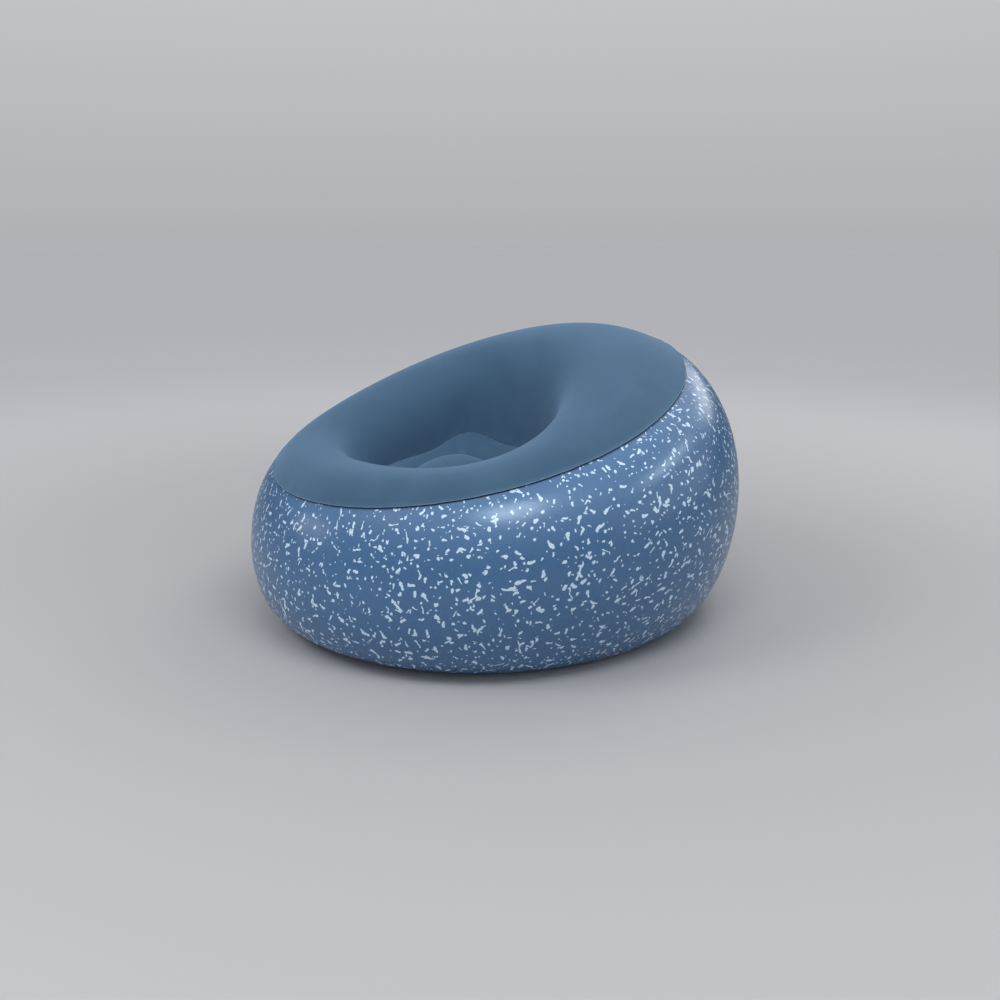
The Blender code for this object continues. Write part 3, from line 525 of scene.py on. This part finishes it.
class Nodes:
    """A node tree, with short calls that add linked nodes to it."""

    def __init__(self, tree):
        self.tree = tree

    def feed(self, socket, value):
        """Links a socket to another node's output, or sets it to a value."""
        if is_output(value):
            self.tree.links.new(value, socket)
        else:
            socket.default_value = value

    def node(self, kind, sockets=None, **fields):
        """A node whose fields are set, and whose sockets are set or linked."""
        made = self.tree.nodes.new(kind)
        for key, value in fields.items():
            setattr(made, key, value)
        for key, value in (sockets or {}).items():
            self.feed(made.inputs[key], value)
        return made

    def ramp(self, value, low, high, first=0.0, last=1.0):
        """first below low and last above high, with a smooth step between."""
        return self.node("ShaderNodeMapRange", {
            "Value": value, "From Min": low, "From Max": high, "To Min": first, "To Max": last},
            interpolation_type="SMOOTHSTEP").outputs[0]

    def mix(self, factor, a, b):
        """Colour a where factor is 0 and b where it is 1, by the node's colour sockets."""
        first, second = (value if is_output(value) else (*value, 1.0) for value in (a, b))
        return self.node("ShaderNodeMix", {0: factor, 6: first, 7: second},
                         data_type="RGBA").outputs[2]


class Finish(Nodes):
    """A node material, which starts from a plain colour and roughness."""

    def __init__(self, name, base, roughness):
        self.material = bpy.data.materials.new(name + "_finish")
        self.material.use_nodes = True
        self.material.diffuse_color = (*base, 1.0)
        super().__init__(self.material.node_tree)
        self.shader = self.tree.nodes["Principled BSDF"]
        self.shader.inputs["Base Color"].default_value = (*base, 1.0)
        self.shader.inputs["Roughness"].default_value = roughness
        self.place = self.node("ShaderNodeTexCoord").outputs["Object"]

    def noise(self, scale, detail, distortion=0.0):
        """Noise from 0 to 1 with features about 1 / scale metres wide."""
        return self.node("ShaderNodeTexNoise", {
            "Vector": self.place, "Scale": scale, "Detail": detail,
            "Distortion": distortion}).outputs[0]

    def math(self, operation, a, b=0.0, c=0.0):
        """One step of arithmetic."""
        return self.node("ShaderNodeMath", {0: a, 1: b, 2: c}, operation=operation).outputs[0]

    def vectors(self, operation, a, b=(0.0, 0.0, 0.0)):
        """One step of vector arithmetic: a vector, or a number for a length or a dot product."""
        made = self.node("ShaderNodeVectorMath", {0: a, 1: b}, operation=operation)
        return made.outputs["Value" if operation in ("LENGTH", "DOT_PRODUCT") else "Vector"]

    def mottled(self, base, scale, detail, factor):
        """A colour that drifts by noise between itself and factor times itself."""
        drift = self.ramp(self.noise(scale, detail), *NOISE_MIDDLE)
        return self.mix(drift, base, tuple(c * factor for c in base))

    def warped(self, where, scale, reach):
        """Places of a sheet moved up to reach metres across and along by noise."""
        noise = self.node("ShaderNodeTexNoise", {"Vector": where, "Scale": scale, "Detail": 2.0})
        centred = self.vectors("SUBTRACT", noise.outputs["Color"], (0.5, 0.5, 0.5))
        move = self.vectors("MULTIPLY", centred, (2 * reach, 2 * reach, 0.0))
        return self.vectors("ADD", where, move)

    def rods(self, where, scale, half_length, half_width, share):
        """Where a place lies in the rod of its cell: 1 inside and 0 outside.

        With q the place less the cell's middle, and u the rod's direction, a place is
        inside if |q - clamp(q . u, -l, l) u| is less than the rod's half width. Each
        cell's colour gives u, l up to half_length and a width up to half_width that
        grows along the rod. That share of the cells has one.
        """
        cell = self.node("ShaderNodeTexVoronoi", {"Vector": where, "Scale": scale},
                         voronoi_dimensions="2D")
        turn, long, wide = self.node("ShaderNodeSeparateColor", {0: cell.outputs["Color"]}).outputs
        turn = self.math("MULTIPLY", turn, 2 * math.pi)
        way = self.node("ShaderNodeCombineXYZ", {0: self.math("COSINE", turn),
                                                 1: self.math("SINE", turn)}).outputs[0]
        q = self.vectors("SUBTRACT", where, cell.outputs["Position"])
        reach = self.math("MULTIPLY", self.math("MULTIPLY", long, long), half_length)
        along = self.math("MINIMUM", self.vectors("DOT_PRODUCT", q, way), reach)
        along = self.math("MAXIMUM", along, self.math("MULTIPLY", reach, -1.0))
        nearest = self.node("ShaderNodeVectorMath", {0: way, "Scale": along},
                            operation="SCALE").outputs[0]
        away = self.vectors("LENGTH", self.vectors("SUBTRACT", q, nearest))
        taper = self.math("MULTIPLY_ADD", along, FLECK_TAPER / half_length, 1.0)
        thick = self.ramp(wide, 1 - share, 1.0, FLECK_LEAST * half_width, half_width)
        here = self.math("GREATER_THAN", wide, 1 - share)
        depth = self.math("SUBTRACT", self.math("MULTIPLY", thick, taper), away)
        return self.math("MULTIPLY", self.ramp(depth, *FLECK_EDGE), here)

    def bump(self, height, strength, distance, under=None):
        """A bump of a height, over another if there is one."""
        sockets = {"Height": height, "Strength": strength, "Distance": distance}
        if under is not None:
            sockets["Normal"] = under
        return self.node("ShaderNodeBump", sockets).outputs[0]

    def use(self, **sockets):
        """Links or sets sockets of the shader, with _ for a space in their names."""
        for key, value in sockets.items():
            self.feed(self.shader.inputs[key.replace("_", " ")], value)
        return self.material


def finish(name):
    """The finish of that name, made once."""
    if name not in MADE:
        MADE[name] = FINISHES[name](bpy.context.scene.chair_colours)
    return MADE[name]


def flocked_vinyl(colours):
    """Short matt pile: two close blues where the pile leans, fibre speckle, and sheen."""
    f = Finish("flocked_vinyl", colours.flock, 0.92)
    lean = f.ramp(f.noise(7.0, 4.0, distortion=0.6), 0.35, 0.68)
    ground = f.mix(lean, colours.flock, colours.flock_light)
    fibre = f.noise(1500.0, 2.0)
    tips = tuple(c * 1.5 for c in colours.flock_light)
    speckle = f.mix(f.ramp(fibre, 0.35, 0.65, 0.0, 0.16), ground, tips)
    pile = f.bump(fibre, 0.30, 0.0004)
    lie = f.bump(f.noise(160.0, 3.0), 0.10, 0.0012, pile)
    return f.use(Base_Color=speckle, Normal=lie, Sheen_Weight=0.42, Sheen_Roughness=0.5,
                 Sheen_Tint=(0.45, 0.68, 1.0, 1.0), Specular_IOR_Level=0.25)


def printed_vinyl(colours):
    """Satin film printed with pale flecks: crooked rods and angular blobs, long strokes and dots, with a
    painted shadow line under the rim's edge.

    Each kind is a layer of rods, one to a cell, in the sheet's own flat metres bent by
    noise. A rod that is longer than its cell is cut off by its neighbours.
    """
    f = Finish("printed_vinyl", colours.wall, 0.34)
    sheet = f.node("ShaderNodeUVMap", uv_map="sheet").outputs[0]
    rough = f.warped(f.warped(sheet, 75.0, 0.0050), 260.0, 0.0015)
    crooked = f.warped(f.warped(sheet, 48.0, 0.0115), 260.0, 0.0014)
    rods = f.rods(rough, *RODS)
    strokes = f.rods(f.vectors("ADD", crooked, STROKES_SHIFT), *STROKES)
    dots = f.rods(f.vectors("ADD", rough, DOTS_SHIFT), *DOTS)
    flecks = f.math("MAXIMUM", rods, f.math("MAXIMUM", strokes, dots))
    printed = f.mix(flecks, f.mottled(colours.wall, 4.0, 3.0, 1.07), colours.fleck)
    # weld is the painted shadow line under the top's free edge: it mixes in the dark seam colour and
    # makes the gloss rough there
    weld = f.node("ShaderNodeAttribute", attribute_name="weld").outputs["Fac"]
    peel = f.bump(f.noise(420.0, 2.0), 0.06, 0.0006)
    slack = f.bump(f.noise(16.0, 2.0), 0.10, 0.004, peel)
    gloss = f.ramp(f.noise(30.0, 3.0), *NOISE_MIDDLE, 0.25, 0.31)
    return f.use(Base_Color=f.mix(weld, printed, colours.seam), Normal=slack,
                 Roughness=f.ramp(weld, 0.0, 1.0, gloss, 0.95), Specular_IOR_Level=0.45)


def base_vinyl(colours):
    """Dark plain film of the underside, with a fine non-slip grain."""
    f = Finish("base_vinyl", colours.base, 0.55)
    return f.use(Base_Color=f.mottled(colours.base, 9.0, 4.0, 1.25),
                 Normal=f.bump(f.noise(600.0, 3.0), 0.25, 0.0005))


def weld_edge(colours):
    """Melted, unflocked edge of the top along the rim."""
    f = Finish("weld_edge", colours.edge, 0.38)
    return f.use(Base_Color=f.mottled(colours.edge, 60.0, 3.0, 0.72),
                 Normal=f.bump(f.noise(300.0, 2.0), 0.2, 0.0004))


def web_vinyl(colours):
    """Milky plain film of the webs."""
    f = Finish("web_vinyl", colours.web, 0.42)
    return f.use(Base_Color=f.mottled(colours.web, 12.0, 3.0, 0.9),
                 Normal=f.bump(f.noise(250.0, 2.0), 0.15, 0.0004))


def moulded(name, base, roughness, grain):
    """Moulded plastic or rubber with a fine grain and slight unevenness of colour and gloss."""
    f = Finish(name, base, roughness)
    gloss = f.ramp(f.noise(160.0, 2.0), *NOISE_MIDDLE, roughness - 0.05, roughness + 0.06)
    return f.use(Base_Color=f.mottled(base, 90.0, 3.0, 0.88), Roughness=gloss,
                 Normal=f.bump(f.noise(grain, 2.0), 0.12, 0.0002))


MADE = {}
FINISHES = {
    "flocked_vinyl": flocked_vinyl,
    "printed_vinyl": printed_vinyl,
    "base_vinyl": base_vinyl,
    "weld_edge": weld_edge,
    "web_vinyl": web_vinyl,
    "soft_valve_vinyl": lambda c: moulded("soft_valve_vinyl", c.soft_valve, 0.42, 900.0),
    "hard_valve_plastic": lambda c: moulded("hard_valve_plastic", c.hard_valve, 0.36, 1400.0),
    "seal_rubber": lambda c: moulded("seal_rubber", c.seal, 0.5, 1800.0),
}
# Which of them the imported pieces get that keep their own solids
NODE_FINISHES = {
    "soft_valve_vinyl": ("valve_base", "cap_strap"),
    "hard_valve_plastic": ("valve_insert", "valve_cap"),
    "seal_rubber": ("insert_seal", "cap_seal", "valve_flap"),
    "web_vinyl": ("seat_web_front", "seat_web_back", "seat_web_left", "seat_web_right"),
}


# Skins

def wall_rows(form, detail, theta, t, normals):
    """Outer face of the side wall with its small folds, and each point's distance below the rim.

    The curve's points move along their normals by folds that fade exponentially
    from the rim and from the base, less a groove that fades under the lap's edge.
    """
    rows = cubic(wall_handles(form, theta), t[:, None])
    up = run_up(rows)
    down = up[-1] - up
    clear = np.clip(down - form.weld_width, 0, None)
    rim_folds = fading_folds(theta, RIM_FOLDS, detail.pucker, clear, detail.pucker_reach)
    base_folds = fading_folds(theta, BASE_FOLDS, detail.base_pucker, up, detail.base_pucker_reach)
    fade = clear / detail.groove_reach
    groove = detail.groove_depth * fade * np.exp(1 - fade)
    under_lap = np.clip(down / form.weld_width, 0, 1)
    move = under_lap * (rim_folds - groove) + base_folds
    return rows + move[..., None] * normals(rows), down


def metre_map(obj, columns, across, along):
    """A UV map in metres: across by column and along by point, numbered row by row.

    Where the columns close round, the last faces run on to the full distance across.
    """
    corner = np.empty(len(obj.data.loops), dtype=np.int32)
    obj.data.loops.foreach_get("vertex_index", corner)
    column = (corner % columns).reshape(-1, 4)
    last = column.max(1, keepdims=True) == columns - 1
    column = np.where(last & (column == 0), columns, column)
    uv = np.stack([across[column.ravel()], along.ravel()[corner]], 1)
    layer = obj.data.uv_layers.new(name="sheet")
    layer.data.foreach_set("uv", uv.astype(np.float32).ravel())


def cut_round(obj, matrix, radius, reach):
    """Cuts a round hole along a frame's local Z, and keeps the mesh with its modifiers applied."""
    ring = radius * outward(even_angles(HOLE_STEPS))
    points = np.concatenate([ring - reach * UP, ring + reach * UP])
    turn = np.array(matrix.to_3x3())
    low, high = np.arange(2 * HOLE_STEPS).reshape(2, -1)
    faces = round_faces(low, high).tolist() + [low[::-1].tolist(), high.tolist()]
    mesh = bpy.data.meshes.new("hole")
    mesh.from_pydata((points @ turn.T + np.array(matrix.translation)).tolist(), [], faces)
    cutter = bpy.data.objects.new("hole", mesh)
    bpy.context.scene.collection.objects.link(cutter)
    cut = obj.modifiers.new("hole", "BOOLEAN")
    cut.operation = "DIFFERENCE"
    cut.solver = "EXACT"
    cut.object = cutter
    bpy.context.view_layer.update()
    made = bpy.data.meshes.new_from_object(obj.evaluated_get(bpy.context.evaluated_depsgraph_get()))
    obj.modifiers.clear()
    obj.data = made
    bpy.data.objects.remove(cutter)


def valve_matrix(form):
    """Frame of the valve: local Z out of the wall, square to it, and local -Y up."""
    steps = np.linspace(0, 1, VALVE_STEPS)[:, None]
    _, y, z = cubic(wall_handles(form, np.array([math.pi / 2])), steps)[:, 0].T
    slope = np.gradient(y, z + LEAST_RISE * np.arange(VALVE_STEPS))
    tilt = math.atan(np.interp(form.valve_height, z, slope))
    turn = Matrix.Rotation(-math.pi / 2 - tilt, 4, "X")
    place = (0, np.interp(form.valve_height, z, y), form.valve_height)
    return Matrix.Translation(place) @ turn


class CHAIR_OT_side_wall(bpy.types.Operator):
    """Makes the printed side wall and its closing lap"""
    bl_idname = "chair.side_wall"
    bl_label = "Side wall"

    def execute(self, context):
        form, detail = context.scene.chair_form, context.scene.chair_detail
        theta = even_angles(AROUND, form.lap_angle)
        rows, down = wall_rows(form, detail, theta, crowded(WALL_ROWS, WALL_SQUEEZE), normals_of)
        obj = sheet_object("side_wall_skin", rows, grid_faces(WALL_ROWS, AROUND))
        across = np.arange(AROUND + 1) / AROUND * math.pi * form.overall_width
        metre_map(obj, AROUND, across, down)
        # The weld values are painted shadow: a dark band on the wall just below the top's free edge,
        # where its groove lies in shade
        edge = form.weld_width + detail.margin
        point_values(obj, "weld", np.exp(-((down - edge) / detail.shadow_line_width)**2))
        thicken(obj, form.vinyl, -1)
        cut_round(obj, valve_matrix(form), form.collar_radius + form.gap, form.weld_width * 2)
        dress(obj, finish("printed_vinyl"), "chair", "printed_vinyl", "side_wall")
        closing_lap(form, detail)
        return {"FINISHED"}


def closing_lap(form, detail):
    """The outer end of the wall's strip: the wall's own surface over a narrow band, lifted."""
    across = np.linspace(-form.lap_width, form.lap_width, LAP_COLUMNS) / 2
    theta = form.lap_angle + across / (form.overall_width / 2)
    up = np.linspace(*LAP_ENDS, WALL_ROWS)
    rows, down = wall_rows(form, detail, theta, up, open_normals)
    points = rows + form.gap * open_normals(rows)
    obj = sheet_object("wall_closing_lap", points, grid_faces(WALL_ROWS, LAP_COLUMNS, False))
    metre_map(obj, LAP_COLUMNS, across + form.overall_width, down)
    # No painted shadow line on the closing lap
    point_values(obj, "weld", 0 * down)
    thicken(obj, form.vinyl, 1)
    dress(obj, finish("printed_vinyl"), "chair", "printed_vinyl")


def top_rows(form, detail, theta):
    """Under face of the flocked top: free edge, weld lap, roll, well and lower lip.

    The edge and the lap lie on the wall's curve. A distance down it from the rim is
    turned into the curve's own share by its speed at the rim.
    """
    handles = wall_handles(form, theta)
    margin, weld = detail.margin, form.weld_width
    bend, bend_lift = EDGE_BEND
    down = np.array([weld + margin, weld + bend * margin, weld, weld / 2, 0.0])[:, None]
    lift = np.array([1.0, bend_lift, 0.0, 0.0, 0.0])[:, None, None] * detail.margin_lift + form.gap
    speed = 3 * np.linalg.norm(handles[3] - handles[2], axis=1)
    under = cubic(handles, 1 - down / speed)
    lap = under + lift * normals_of(under)
    outer, inner = roll_handles(form, theta, lap[-1])
    roll = cubic(outer, np.linspace(0, 1, ROLL_ROWS)[1:, None]**ROLL_POWER)
    well = cubic(inner, crowded(WELL_ROWS, WELL_SQUEEZE)[1:, None])
    lip = well[-1] - form.weld_width * UP
    return np.concatenate([lap, roll, well, lip[None]])


class CHAIR_OT_top_panel(bpy.types.Operator):
    """Makes the flocked top, from lap to well wall in one sheet, and its melted edge"""
    bl_idname = "chair.top_panel"
    bl_label = "Flocked top"

    def execute(self, context):
        form, detail = context.scene.chair_form, context.scene.chair_detail
        theta = even_angles(AROUND)
        rows = top_rows(form, detail, theta)
        up = run_up(rows)
        from_lap = np.clip(up - form.weld_width - detail.margin, 0, None)
        from_seam = np.clip(up[-1] - up - form.weld_width, 0, None)
        rim_folds = fading_folds(theta, RIM_FOLDS, detail.pucker, from_lap, detail.pucker_reach)
        seat_folds = fading_folds(theta, SEAT_FOLDS, detail.seat_pucker, from_seam,
                                  detail.seat_pucker_reach)
        rows = rows + (rim_folds + seat_folds)[..., None] * normals_of(rows)
        obj = sheet_object("top_panel_skin", rows, grid_faces(*rows.shape[:2]))
        thicken(obj, form.flocked_vinyl, 1)
        dress(obj, finish("flocked_vinyl"), "chair", "flocked_vinyl", "top_panel")
        melted_edge(form, detail, rows[0])
        return {"FINISHED"}


def melted_edge(form, detail, path):
    """Bead along the top's free edge: a circle carried round the edge."""
    along = unit(np.roll(path, -1, axis=0) - np.roll(path, 1, axis=0))
    out = unit(np.cross(along, UP))
    up = np.cross(out, along)
    turn = even_angles(BEAD_SIDES)[:, None, None]
    centre = path + out * form.flocked_vinyl / 2
    points = centre + detail.bead_radius * (np.cos(turn) * out + np.sin(turn) * up)
    number = np.arange(BEAD_SIDES * len(path)).reshape(BEAD_SIDES, -1)
    faces = np.concatenate([round_faces(a, b) for a, b in zip(number, np.roll(number, -1, axis=0))])
    obj = sheet_object("rim_weld_edge", points, faces)
    dress(obj, finish("weld_edge"), "chair", "flocked_vinyl")


def softened(rings, share):
    """Closed rings averaged many times with their neighbours round, blended in by a share."""
    soft = rings
    for _ in range(SOFTEN_ROUNDS):
        soft = (np.roll(soft, 1, axis=1) + 2 * soft + np.roll(soft, -1, axis=1)) / 4
    blend = np.clip(share, 0, 1)
    return rings * (1 - blend) + soft * blend


def relaxed(points, faces, share):
    """Points moved many times towards the mean of their neighbours, each by its own share."""
    first = np.concatenate([faces, np.roll(faces, -1, axis=1)]).ravel()
    second = np.concatenate([np.roll(faces, -1, axis=1), faces]).ravel()
    count = np.bincount(first, minlength=len(points))[:, None]
    for _ in range(RELAX_ROUNDS):
        total = [np.bincount(first, points[second, axis], len(points)) for axis in range(3)]
        points = points + share[:, None] * (np.stack(total, 1) / count - points)
    return points


def seat_rings(form, detail, middle):
    """Rings of the seat floor between its weld square and the seam, and the lip below it.

    A ring is a blend of both by a share s, raised by sin(pi s) and by folds that fade
    inwards from the seam. It is softened most half way, and not at its ends.
    """
    theta = even_angles(AROUND, -math.pi / 4)
    square = square_points(theta)
    height = seat_height(form, square[:, 0], square[:, 1])[:, None]
    inner = np.concatenate([square * form.weld_half, height], 1) + middle
    outer = seat_seam(form, theta) - (form.flocked_vinyl + form.gap) * outward(theta)
    s = crowded(SEAT_RINGS, SEAT_SQUEEZE)[1:, None, None]
    rings = inner * (1 - s) + outer * s
    rings[..., 2] += form.ring_bulge * np.sin(math.pi * s[..., 0])
    reach = np.linalg.norm(outer - inner, axis=1) * (1 - s[..., 0])
    rings[..., 2] += fading_folds(theta, SEAT_FOLDS, detail.seat_pucker, reach,
                                  detail.seat_pucker_reach)
    rings[:-1] = softened(rings[:-1], np.minimum(s, 1 - s)[:-1] * detail.soft_corner)
    return rings, outer - form.weld_width * UP


class CHAIR_OT_seat_panel(bpy.types.Operator):
    """Makes the flocked seat floor"""
    bl_idname = "chair.seat_panel"
    bl_label = "Seat floor"

    def execute(self, context):
        form, detail = context.scene.chair_form, context.scene.chair_detail
        side = AROUND // 4
        x, y = square_shares(side)
        middle = np.array([0.0, form.seat_centre_y, 0.0])
        grid = np.stack([form.weld_half * x, form.weld_half * y, seat_height(form, x, y)], 2)
        rings, lip = seat_rings(form, detail, middle)
        points = np.concatenate([grid.reshape(-1, 3) + middle, rings.reshape(-1, 3), lip])
        faces = disc_faces(side, SEAT_RINGS)
        corner = np.abs(points - middle)[:, :2] - form.weld_half
        near = np.exp(-(corner**2).sum(1) / detail.corner_reach**2)
        obj = sheet_object("seat_panel_skin", relaxed(points, faces, near), faces)
        thicken(obj, form.flocked_vinyl, -1)
        dress(obj, finish("flocked_vinyl"), "chair", "flocked_vinyl", "seat_panel")
        return {"FINISHED"}


class CHAIR_OT_base_sheet(bpy.types.Operator):
    """Makes the base sheet that lies on the floor"""
    bl_idname = "chair.base_sheet"
    bl_label = "Base sheet"

    def execute(self, context):
        form = context.scene.chair_form
        reach = form.base_radius + form.weld_width
        x, y = square_shares(BASE_SIDE)
        grid = np.stack([x, y, 0 * x], 2).reshape(-1, 3) * reach * BASE_SQUARE
        theta = even_angles(4 * BASE_SIDE, -math.pi / 4)
        square = square_points(theta) * reach * BASE_SQUARE
        inner = np.concatenate([square, np.zeros((len(theta), 1))], 1)
        s = np.linspace(0, 1, BASE_RINGS + 1)[1:, None, None]
        rings = inner * (1 - s) + reach * outward(theta) * s
        obj = sheet_object("base_sheet_skin", np.concatenate([grid, rings.reshape(-1, 3)]),
                           disc_faces(BASE_SIDE, BASE_RINGS))
        thicken(obj, form.vinyl, 1)
        dress(obj, finish("base_vinyl"), "chair", "base_vinyl", "base_sheet")
        return {"FINISHED"}


class CHAIR_OT_packed_pieces(bpy.types.Operator):
    """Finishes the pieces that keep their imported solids: the valve's and the webs"""
    bl_idname = "chair.packed_pieces"
    bl_label = "Valve and webs"

    def execute(self, context):
        for made, names in NODE_FINISHES.items():
            for name in names:
                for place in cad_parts[name].material_slots:
                    place.material = finish(made)
        return {"FINISHED"}


# Studio

def direction(azimuth, elevation):
    """Unit vector towards an azimuth from the chair's front and an elevation."""
    return np.array([math.sin(azimuth) * math.cos(elevation),
                     -math.cos(azimuth) * math.cos(elevation), math.sin(elevation)])


def aim_matrix(place, right, up, back):
    """An object's matrix from its place and its three axes."""
    rows = np.eye(4)
    rows[:3, 0], rows[:3, 1], rows[:3, 2], rows[:3, 3] = right, up, back, place
    return Matrix(rows.tolist())


def pale_floor(studio):
    """The floor, as pale as that to the camera, and darker far off to what mirrors it."""
    radius = np.geomspace(studio.floor_middle, studio.floor_radius, FLOOR_RINGS)
    points = radius[:, None, None] * outward(even_angles(FLOOR_STEPS))
    floor = sheet_object("floor", points, grid_faces(FLOOR_RINGS, FLOOR_STEPS)[:, ::-1])
    f = Finish("pale_floor", studio.floor, 0.75)
    reach = f.vectors("LENGTH", f.place)
    mirrored = f.mix(f.ramp(reach, *studio.floor_fade), studio.floor, studio.floor_far)
    seen = f.mix(f.ramp(reach, *studio.seen_fade), studio.floor, studio.floor_seen)
    camera_ray = f.node("ShaderNodeLightPath").outputs["Is Camera Ray"]
    floor.data.materials.append(f.use(Base_Color=f.mix(camera_ray, mirrored, seen),
                                      Specular_IOR_Level=0.2))


def soft_lamp(name, azimuth, elevation, distance, size, watts, tint=WHITE, glow=False):
    """A lamp that faces the chair, so wide and so high: a glow only shows in glossy surfaces."""
    back = direction(math.radians(azimuth), math.radians(elevation))
    right = unit(np.cross(UP, back))
    lamp = bpy.data.lights.new(name, "AREA")
    lamp.shape = "RECTANGLE"
    lamp.size, lamp.size_y = size
    lamp.energy = watts
    lamp.color = tint
    obj = bpy.data.objects.new(name, lamp)
    place = back * distance + LAMP_AIM * UP
    obj.matrix_world = aim_matrix(place, right, np.cross(back, right), back)
    obj.visible_camera = False
    obj.visible_diffuse = not glow
    obj.visible_glossy = glow
    bpy.context.scene.collection.objects.link(obj)


def room_light(studio):
    """The world: even light, which gloss shows dim low down, and a backdrop for the camera."""
    world = bpy.data.worlds.new("room")
    world.use_nodes = True
    w = Nodes(world.node_tree)
    ray = w.node("ShaderNodeLightPath").outputs
    place = w.node("ShaderNodeTexCoord").outputs["Generated"]
    height = w.node("ShaderNodeSeparateXYZ", {0: place}).outputs["Z"]
    ceiling = w.ramp(height, *studio.gloss_band, studio.gloss_low, studio.gloss_high)
    strength = w.node("ShaderNodeMix", {"Factor": ray["Is Glossy Ray"],
                                        "A": studio.world_strength, "B": ceiling}).outputs[0]
    room = w.tree.nodes["Background"]
    room.inputs["Color"].default_value = (*studio.room, 1.0)
    w.feed(room.inputs["Strength"], strength)
    rise = w.node("ShaderNodeMapRange", {"Value": height, "From Max": studio.backdrop_rise})
    shade = w.mix(rise.outputs[0], studio.backdrop_low, studio.backdrop)
    seen = w.node("ShaderNodeBackground", {"Color": shade})
    both = w.node("ShaderNodeMixShader", {0: ray["Is Camera Ray"], 1: room.outputs[0],
                                          2: seen.outputs[0]})
    w.feed(w.tree.nodes["World Output"].inputs["Surface"], both.outputs[0])
    return world


def photo_camera(studio):
    """The camera, on the photograph's line of sight."""
    azimuth = studio.camera_azimuth
    back = direction(azimuth, studio.camera_elevation)
    right = np.array([math.cos(azimuth), math.sin(azimuth), 0.0])
    camera = bpy.data.cameras.new("photo_camera")
    camera.sensor_width = FRAME_WIDTH
    camera.lens = studio.lens
    eye = bpy.data.objects.new("photo_camera", camera)
    place = right * studio.aim[0] + UP * studio.aim[1] + back * studio.camera_distance
    eye.matrix_world = aim_matrix(place, right, np.cross(back, right), back)
    bpy.context.scene.collection.objects.link(eye)
    return eye


class CHAIR_OT_studio(bpy.types.Operator):
    """Makes the floor, the lamps, the room light and the camera"""
    bl_idname = "chair.studio"
    bl_label = "Studio"

    def execute(self, context):
        scene = context.scene
        pale_floor(scene.chair_studio)
        for name, settings in LAMPS.items():
            soft_lamp(name, *settings)
        for name, settings in GLOWS.items():
            soft_lamp(name, *settings, glow=True)
        scene.world = room_light(scene.chair_studio)
        scene.view_settings.view_transform = "Standard"
        scene.camera = photo_camera(scene.chair_studio)
        return {"FINISHED"}


class CHAIR_PT_panel(bpy.types.Panel):
    """Lists the sizes, the colours and the pieces"""
    bl_idname = "CHAIR_PT_panel"
    bl_label = "Inflatable chair"
    bl_space_type = "VIEW_3D"
    bl_region_type = "UI"
    bl_category = "Chair"

    def draw(self, context):
        for group in SETTINGS:
            settings = getattr(context.scene, group)
            box = self.layout.box()
            for name in settings.__annotations__:
                box.prop(settings, name)
        for operator in OPERATORS:
            self.layout.operator(operator.bl_idname)


SETTINGS = {"chair_form": ChairForm, "chair_detail": ChairDetail,
            "chair_colours": ChairColours, "chair_studio": ChairStudio}
OPERATORS = (CHAIR_OT_side_wall, CHAIR_OT_top_panel, CHAIR_OT_seat_panel,
             CHAIR_OT_base_sheet, CHAIR_OT_packed_pieces, CHAIR_OT_studio)


def register():
    """Registers the settings, the operators and the panel."""
    for made in (*SETTINGS.values(), *OPERATORS, CHAIR_PT_panel):
        bpy.utils.register_class(made)
    for name, group in SETTINGS.items():
        setattr(bpy.types.Scene, name, PointerProperty(type=group))


def unregister():
    """Takes them away again."""
    for name in SETTINGS:
        delattr(bpy.types.Scene, name)
    for made in (CHAIR_PT_panel, *reversed(OPERATORS), *SETTINGS.values()):
        bpy.utils.unregister_class(made)


def main():
    """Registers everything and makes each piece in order."""
    register()
    for operator in OPERATORS:
        group, name = operator.bl_idname.split(".")
        getattr(getattr(bpy.ops, group), name)()


if __name__ == "__main__":
    main()
